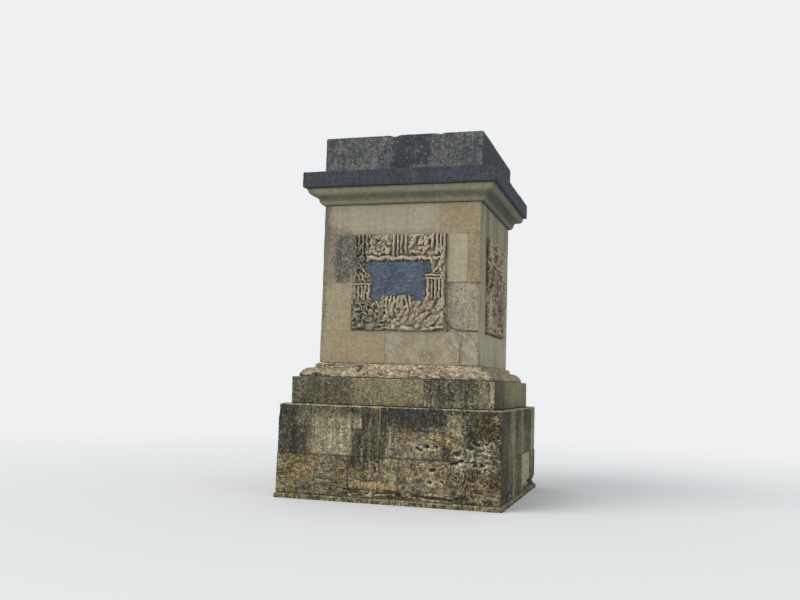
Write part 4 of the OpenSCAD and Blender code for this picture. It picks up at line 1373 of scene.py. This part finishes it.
def stone_material(name, fresh, second, warm, pale, crust, moss, mortar, grit=0.2,
                   lift=0.006, mottle=1.0, soft=0.22, weave=1.0, holes=0.0, hue=0.2):
    """Weathered limestone. Each stain comes with the mesh as the share of the surface
    that it covers. A field woven from noises is spread evenly over 0..1, and the
    stain lies where that field is below its share. The mesh's runs and beds draw the
    field out down the stone or along it. A weave under 1, or the mesh's calm, pulls
    the field to its middle, so that the stain fades smoothly instead. The crust is
    brown where the stone is warm and greenish where it is mossy, ochre turns to rust
    where it is thickest, and the whole wanders from brown to grey by hue."""
    fresh, second, warm, pale, crust, moss, mortar = (
        colour(*tone) for tone in (fresh, second, warm, pale, crust, moss, mortar))
    material, start, place = new_material(name)
    torn = place.shaken(0.05, 0.03)
    fine = place.noise(0.021 * mottle, 3, rough=0.7, warp=0.5)
    small = torn.noise(0.050 * mottle, 3, rough=0.7)
    broad = torn.noise(0.17 * mottle, 4, rough=0.6)
    fine_b = place.noise(0.024 * mottle, 3, rough=0.7, shift=5.1, warp=0.5)
    small_b = torn.noise(0.060 * mottle, 3, rough=0.7, shift=17.3)
    broad_b = torn.noise(0.22 * mottle, 4, shift=31.7)
    run = place.noise(0.030, 4, (1, 1, 14), 0.6)
    run_b = place.noise(0.045, 4, (1, 1, 12), 0.6, 9.3)
    bed = place.shaken(0.2, 0.02).noise(0.016, 3, (6, 6, 1))

    def amount(key):
        return start.node("ShaderNodeAttribute", {"attribute_name": key}, (), 2)

    spread = (1 - amount("calm")) * weave

    def cover(key, woven, share=0.85):
        """How much of a stain shows: up to a share, where the woven field is low."""
        field = woven.even(0.12) * spread + (1 - spread) * 0.5
        return (amount(key) - field).step(-soft, soft) * share

    runs, beds = amount("runs"), amount("beds")
    still = 1 - runs - beds
    dark_weave = broad * 0.28 + small * 0.24 + fine * 0.48
    dark_weave = dark_weave * still + run * runs + bed * beds
    warm_weave = broad_b * 0.28 + small_b * 0.24 + fine * 0.48
    warm_weave = warm_weave * still + run_b * runs + bed * beds
    pale_weave = small_b * 0.40 + fine_b * 0.60
    pale_weave = pale_weave * still + run_b * runs + (1 - bed) * beds
    moss_weave = broad_b * 0.35 + small * 0.20 + fine_b * 0.45
    moss_weave = moss_weave * still + run * runs + bed * beds
    base = (broad_b * 0.5 + amount("tone") * 0.5).step(0.3, 0.7).mix(fresh, second)
    base = cover("moss", moss_weave, 0.7).mix(base, moss)
    ochre = small.even(0.14).mix(times(warm, *[1 - 0.38 * weave] * 3), warm)
    ochre = (amount("warm").step(0.85, 1.0) * hue).mix(ochre, times(warm, 1.22, 0.93, 0.82))
    base = cover("warm", warm_weave, 0.9).mix(base, ochre)
    base = cover("pale", pale_weave).mix(base, pale)
    sooty = broad_b.even(0.12).mix(crust, times(crust, 1.18, 1.2, 1.2))
    sooty = (amount("moss").step(0.50, 1.10) * hue).mix(sooty, times(crust, 1.10, 1.22, 0.78))
    brown = amount("warm").step(0.15, 0.70) * min(1.0, 2 * hue)
    sooty = brown.mix(sooty, times(crust, 1.25, 1.02, 0.66))
    base = cover("crust", dark_weave, 0.94).mix(base, sooty)
    base = (dots(torn, 0.055, 0.35, 0.30) * amount("speck") * 0.8).mix(base, pale)
    base = (amount("seam") * (small.even(0.15) * 0.6 + 0.15)).mix(base, mortar)
    base = grainy(base, fine_b.even(0.14), grit)
    base = grainy(base, (small * still + run * runs + bed * beds).even(0.15), 0.6 * grit)
    base = (amount("rough") * 0.8).mix(base, grainy(base, fine.even(0.12), 0.60))
    wander = (place.noise(0.11, 3, shift=43.3) * 0.65 + small_b * 0.35).even(0.12)
    base = tinge(base, wander, (1 + 0.12 * hue, 1, 1 - 0.20 * hue),
                 (1 - 0.07 * hue, 1, 1 + 0.15 * hue))
    # Painted shade: the mesh's hollow, and the small round pits where the stone has holes, darken
    # the colour towards a third of the crust's
    sunk = amount("hollow")
    height = (fine * 0.40 + small * 0.60 + broad * 0.3) * (0.25 + amount("rough"))
    if holes:
        pit = dots(torn, 0.042, holes, 0.32) * amount("rough")
        sunk = sunk.maths("MAXIMUM", sunk, pit)
        height = height - pit * 0.8
    base = (sunk * 0.88).mix(base, colour(*(0.30 * c for c in crust[:3])))
    finish_stone(start, base, height, lift, 0.93)
    return material


die_stone = stone_material(
    "weathered_ashlar", (0.333, 0.289, 0.184), (0.292, 0.258, 0.172),
    warm=(0.318, 0.250, 0.142), pale=(0.405, 0.372, 0.275), crust=(0.113, 0.109, 0.091),
    moss=(0.235, 0.222, 0.145), mortar=(0.170, 0.140, 0.095),
    grit=0.12, soft=0.40, weave=0.4, holes=0.30)
carved_stone = stone_material(
    "carved_limestone", (0.320, 0.276, 0.185), (0.265, 0.230, 0.158),
    warm=(0.330, 0.245, 0.135), pale=(0.478, 0.428, 0.316), crust=(0.098, 0.093, 0.074),
    moss=(0.210, 0.195, 0.130), mortar=(0.150, 0.120, 0.080), grit=0.20,
    soft=0.30, weave=0.5, hue=0.4)
base_stone = stone_material(
    "crusted_limestone", (0.170, 0.146, 0.092), (0.120, 0.106, 0.070),
    warm=(0.276, 0.222, 0.116), pale=(0.420, 0.380, 0.258), crust=(0.031, 0.030, 0.024),
    moss=(0.122, 0.135, 0.070), mortar=(0.070, 0.060, 0.040),
    grit=0.60, lift=0.014, soft=0.52, holes=0.25, hue=0.7)
step_stone = stone_material(
    "stained_limestone", (0.225, 0.196, 0.115), (0.180, 0.160, 0.098),
    warm=(0.270, 0.205, 0.095), pale=(0.370, 0.335, 0.225), crust=(0.046, 0.043, 0.032),
    moss=(0.150, 0.140, 0.075), mortar=(0.085, 0.072, 0.045),
    grit=0.30, lift=0.010, soft=0.45, holes=0.15, hue=0.4)
moulding_stone = stone_material(
    "eaten_limestone", (0.330, 0.280, 0.190), (0.255, 0.220, 0.150),
    warm=(0.330, 0.235, 0.120), pale=(0.520, 0.460, 0.320), crust=(0.070, 0.063, 0.047),
    moss=(0.190, 0.175, 0.105), mortar=(0.110, 0.090, 0.058),
    grit=0.40, lift=0.014, soft=0.30, holes=0.5, hue=0.3)
cornice_stone = stone_material(
    "sheltered_limestone", (0.238, 0.228, 0.158), (0.205, 0.198, 0.138),
    warm=(0.255, 0.225, 0.135), pale=(0.310, 0.295, 0.212), crust=(0.070, 0.076, 0.060),
    moss=(0.150, 0.158, 0.105), mortar=(0.090, 0.085, 0.062),
    grit=0.06, mottle=1.6, soft=0.5, weave=0.25)
crown_stone = stone_material(
    "black_crust", (0.140, 0.142, 0.135), (0.105, 0.112, 0.120),
    warm=(0.160, 0.148, 0.105), pale=(0.290, 0.290, 0.275), crust=(0.039, 0.044, 0.053),
    moss=(0.090, 0.096, 0.078), mortar=(0.160, 0.158, 0.145),
    grit=0.28, mottle=0.8, soft=0.35, holes=0.15)


def plain_material(name, first, second, mark, size, lift, roughness):
    """Two tones in soft clouds with small marks, for slate and for plain stone."""
    first, second, mark = (colour(*tone) for tone in (first, second, mark))
    material, start, place = new_material(name)
    broad, small, fine = (place.noise(size / part, detail)
                          for part, detail in ((1, 4), (6, 4), (20, 3)))
    base = (broad * 0.6 + small * 0.4).even(0.12).mix(first, second)
    base = (small.step(0.56, 0.68) * 0.5).mix(base, mark)
    scratch = place.shaken(0.3, 0.05).noise(0.008, 2, (9, 9, 1))
    base = (scratch.step(0.56, 0.68) * broad.even(0.15) * 0.6).mix(base, mark)
    ripple = place.shaken(0.08, 0.04).noise(0.022, 3, (2.5, 2.5, 1), 0.7)
    base = (ripple.step(0.52, 0.66) * 0.5).mix(base, mark)
    base = grainy(base, fine.even(0.15), 0.35)
    finish_stone(start, base, small * 0.6 + fine * 0.4, lift, roughness)
    return material


slate = plain_material("blue_slate", (0.037, 0.051, 0.073), (0.064, 0.083, 0.114),
                       (0.165, 0.195, 0.235), 0.22, 0.0016, 0.55)
tablet_stone = plain_material("tablet_limestone", (0.210, 0.172, 0.110),
                              (0.110, 0.094, 0.066), (0.290, 0.250, 0.170), 0.12, 0.030, 0.9)
rubble = plain_material("rubble_and_mortar", (0.230, 0.200, 0.140), (0.160, 0.142, 0.100),
                        (0.330, 0.300, 0.220), 0.20, 0.02, 0.95)
bed_crust = plain_material("bed_crust", (0.075, 0.080, 0.078), (0.125, 0.125, 0.105),
                           (0.250, 0.245, 0.210), 0.30, 0.008, 0.95)

def new_course(half, spacing, kind, below=CLOSED, above=CLOSED, outline=None):
    """What the stones of a course share: half-width, spacing of the surface's points,
    the kind of stone (wear, slot and material), half-widths of the courses below
    and above, and the outline of a face that isn't plumb."""
    wear, slot, material = kind
    return SimpleNamespace(half=half, spacing=spacing, wear=wear, slot=slot, material=material,
                           below=below, above=above, outline=outline, stepped=False)


# The courses, from the ground up, and the kinds of stone that several of them share
BASE_KIND = (base_wear, "base_stone", base_stone)
DIE_KIND = (die_wear, "die_stone", die_stone)
CROWN_KIND = (crown_wear, "crusted_stone", crown_stone)
COURSES = {
    "base_lower": new_course(BASE_LOWER, 0.014, BASE_KIND, above=BASE),
    "base_front_half": new_course(BASE, 0.014, BASE_KIND),
    "base_side_half": new_course(BASE, 0.014, BASE_KIND),
    "base_upper": new_course(BASE, 0.014, BASE_KIND, above=STEP),
    "step": new_course(STEP, 0.016, (step_wear, "step_stone", step_stone), above=SWELLING),
    "moulding": new_course(SWELLING, 0.014, (moulding_wear, "moulding_stone", moulding_stone),
                           outline=moulding_outline),
    "die_first": new_course(DIE, 0.017, DIE_KIND),
    "die_second": new_course(DIE, 0.014, DIE_KIND),
    "die_third": new_course(DIE, 0.014, DIE_KIND),
    "die_fourth": new_course(DIE, 0.020, DIE_KIND),
    "cornice": new_course(CORNICE, 0.016, (cornice_wear, "cornice_stone", cornice_stone),
                          outline=cornice_outline),
    "corona": new_course(CORONA, 0.018, CROWN_KIND, below=CORNICE, above=TOP),
    "top": new_course(TOP, 0.018, CROWN_KIND, above=SHAFT_BED),
}

# The stones with the stepped joint, and lines along a side that need points of their own
STEPPED_STONES = "base_upper_middle_stones"
MARKS = {STEPPED_STONES: (STEPPED_U,), "die_first_right_stones": (SPLIT_U,)}

number = 0
for name, course in COURSES.items():
    for node in sorted(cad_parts):
        if not (node.startswith(name + "_") and node.endswith("_stones")):
            continue
        course.stepped = node == STEPPED_STONES
        parts = []
        for box in stones_of(node):
            number += 1
            parts.append(stone(box, course, number, MARKS.get(node, ())))
        make_piece(node.replace("_stones", "_faces"), *join(parts), [node], course.slot,
                   course.material)

# Footing, carried round all four sides and closed behind its face
footing = new_course(FOOTING, 0.015, (footing_wear, "footing_stone", base_stone), above=BASE_LOWER)
FOOTING_DEPTH = 0.3
section = Section(footing, 0.0, float(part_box("footing_course")[1].z), BASE_LOWER - FOOTING_DEPTH)
legs = [(side, -FOOTING, FOOTING, True, True) for side in range(4)]
make_piece("footing_ring", *sweep(section, footing, legs, 0, closed=True), ["footing_course"],
           footing.slot, footing.material)

for side, name in enumerate(("front", "right", "back", "left")):
    for is_upper, half_name in ((False, "lower"), (True, "upper")):
        make_piece(f"{name}_carving_{half_name}", *panel(side, is_upper),
                   [f"{name}_panel_{half_name}"], "carved_stone", carved_stone)

make_piece("right_tablet_face", *eroded_tablet(EAST, "right_tablet"), ["right_tablet"],
           "tablet_stone", carved_stone)

# Nodes that keep their own shape
for node, material in (("front_tablet", slate), ("back_tablet", tablet_stone),
                       ("left_tablet", tablet_stone), ("rubble_core", rubble),
                       ("shaft_bed", bed_crust)):
    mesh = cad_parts[node].data
    mesh.materials.clear()
    mesh.materials.append(material)

# Floor, light and camera

BACKDROP = colour(0.86, 0.87, 0.88)


def floor_material():
    """Pale floor that keeps shadows near the object and turns into the backdrop's
    white further out, by its distance from the middle."""
    material, start, place = new_material("pale_floor")
    away = place.node("ShaderNodeVectorMath", {"operation": "LENGTH"}, {0: place}, 1)
    matt = start.node("ShaderNodeBsdfDiffuse", (), {"Color": colour(0.80, 0.80, 0.79)})
    white = start.node("ShaderNodeEmission", (), {"Color": BACKDROP, "Strength": 1.0})
    seen = start.node("ShaderNodeLightPath")
    both = start.node("ShaderNodeMixShader", (),
                      {0: away.step(4.0, 16.0) * seen, 1: matt, 2: white})
    start.node("ShaderNodeOutputMaterial", (), {"Surface": both})
    return material


FLOOR_REACH = 90.0
floor_corners = [(x * FLOOR_REACH, y * FLOOR_REACH, 0)
                 for x, y in ((-1, -1), (1, -1), (1, 1), (-1, 1))]
floor_mesh = bpy.data.meshes.new("floor")
floor_mesh.from_pydata(floor_corners, [], [(0, 1, 2, 3)])
floor_mesh.materials.append(floor_material())
floor = placed("floor", floor_mesh)

world = bpy.data.worlds.new("soft_sky")
bpy.context.scene.world = world
world.use_nodes = True
world.node_tree.nodes.clear()
sky = Wire(world.node_tree)
seen = sky.node("ShaderNodeLightPath", (), (), "Is Camera Ray")
for ray in ("Is Glossy Ray", "Is Transmission Ray"):
    seen = seen.maths("MAXIMUM", seen, sky.node("ShaderNodeLightPath", (), (), ray))
light = sky.node("ShaderNodeBackground", (),
                 {"Color": colour(0.925, 0.960, 1.0), "Strength": 0.735})
backdrop = sky.node("ShaderNodeBackground", (), {"Color": BACKDROP, "Strength": 1.0})
both = sky.node("ShaderNodeMixShader", (), {0: seen, 1: light, 2: backdrop})
sky.node("ShaderNodeOutputWorld", (), {"Surface": both})


def facing(back):
    """Turn of an object whose local Z points along the given direction."""
    z = np.array(back, float) / np.linalg.norm(back)
    x = np.cross(UP, z)
    x /= np.linalg.norm(x)
    return Matrix(np.stack([x, np.cross(z, x), z], -1).tolist()).to_4x4()


lamp_data = bpy.data.lights.new("high_window", "SUN")
lamp_data.energy = 1.6
lamp_data.angle = math.radians(50)
lamp = placed("high_window", lamp_data)
lamp.matrix_world = facing((-0.62, -0.62, 0.62))

# The camera, as worked out from the photograph: place, turn, tilt and roll
CAMERA_AT = np.array([3.595, -13.232, 1.665])
YAW, PITCH, ROLL = (math.radians(angle) for angle in (16.52, 5.42, 1.68))
FOCAL_PIXELS, WIDE_PIXELS = 873.0, 800.0
across = np.array([math.cos(YAW), math.sin(YAW), 0])
level = np.array([-math.sin(YAW), math.cos(YAW), 0])
ahead = level * math.cos(PITCH) + UP * math.sin(PITCH)
lifted = UP * math.cos(PITCH) - level * math.sin(PITCH)
axis_x = across * math.cos(ROLL) + lifted * math.sin(ROLL)
axis_y = lifted * math.cos(ROLL) - across * math.sin(ROLL)
camera_data = bpy.data.cameras.new("camera")
camera_data.sensor_width = 36.0
camera_data.lens = FOCAL_PIXELS / WIDE_PIXELS * camera_data.sensor_width
camera_data.clip_end = 300.0
camera = placed("camera", camera_data)
turned = np.eye(4)
turned[:3, :3] = np.stack([axis_x, axis_y, -ahead], -1)
turned[:3, 3] = CAMERA_AT
camera.matrix_world = Matrix(turned.tolist())
bpy.context.scene.camera = camera
bpy.context.scene.view_settings.view_transform = "Standard"
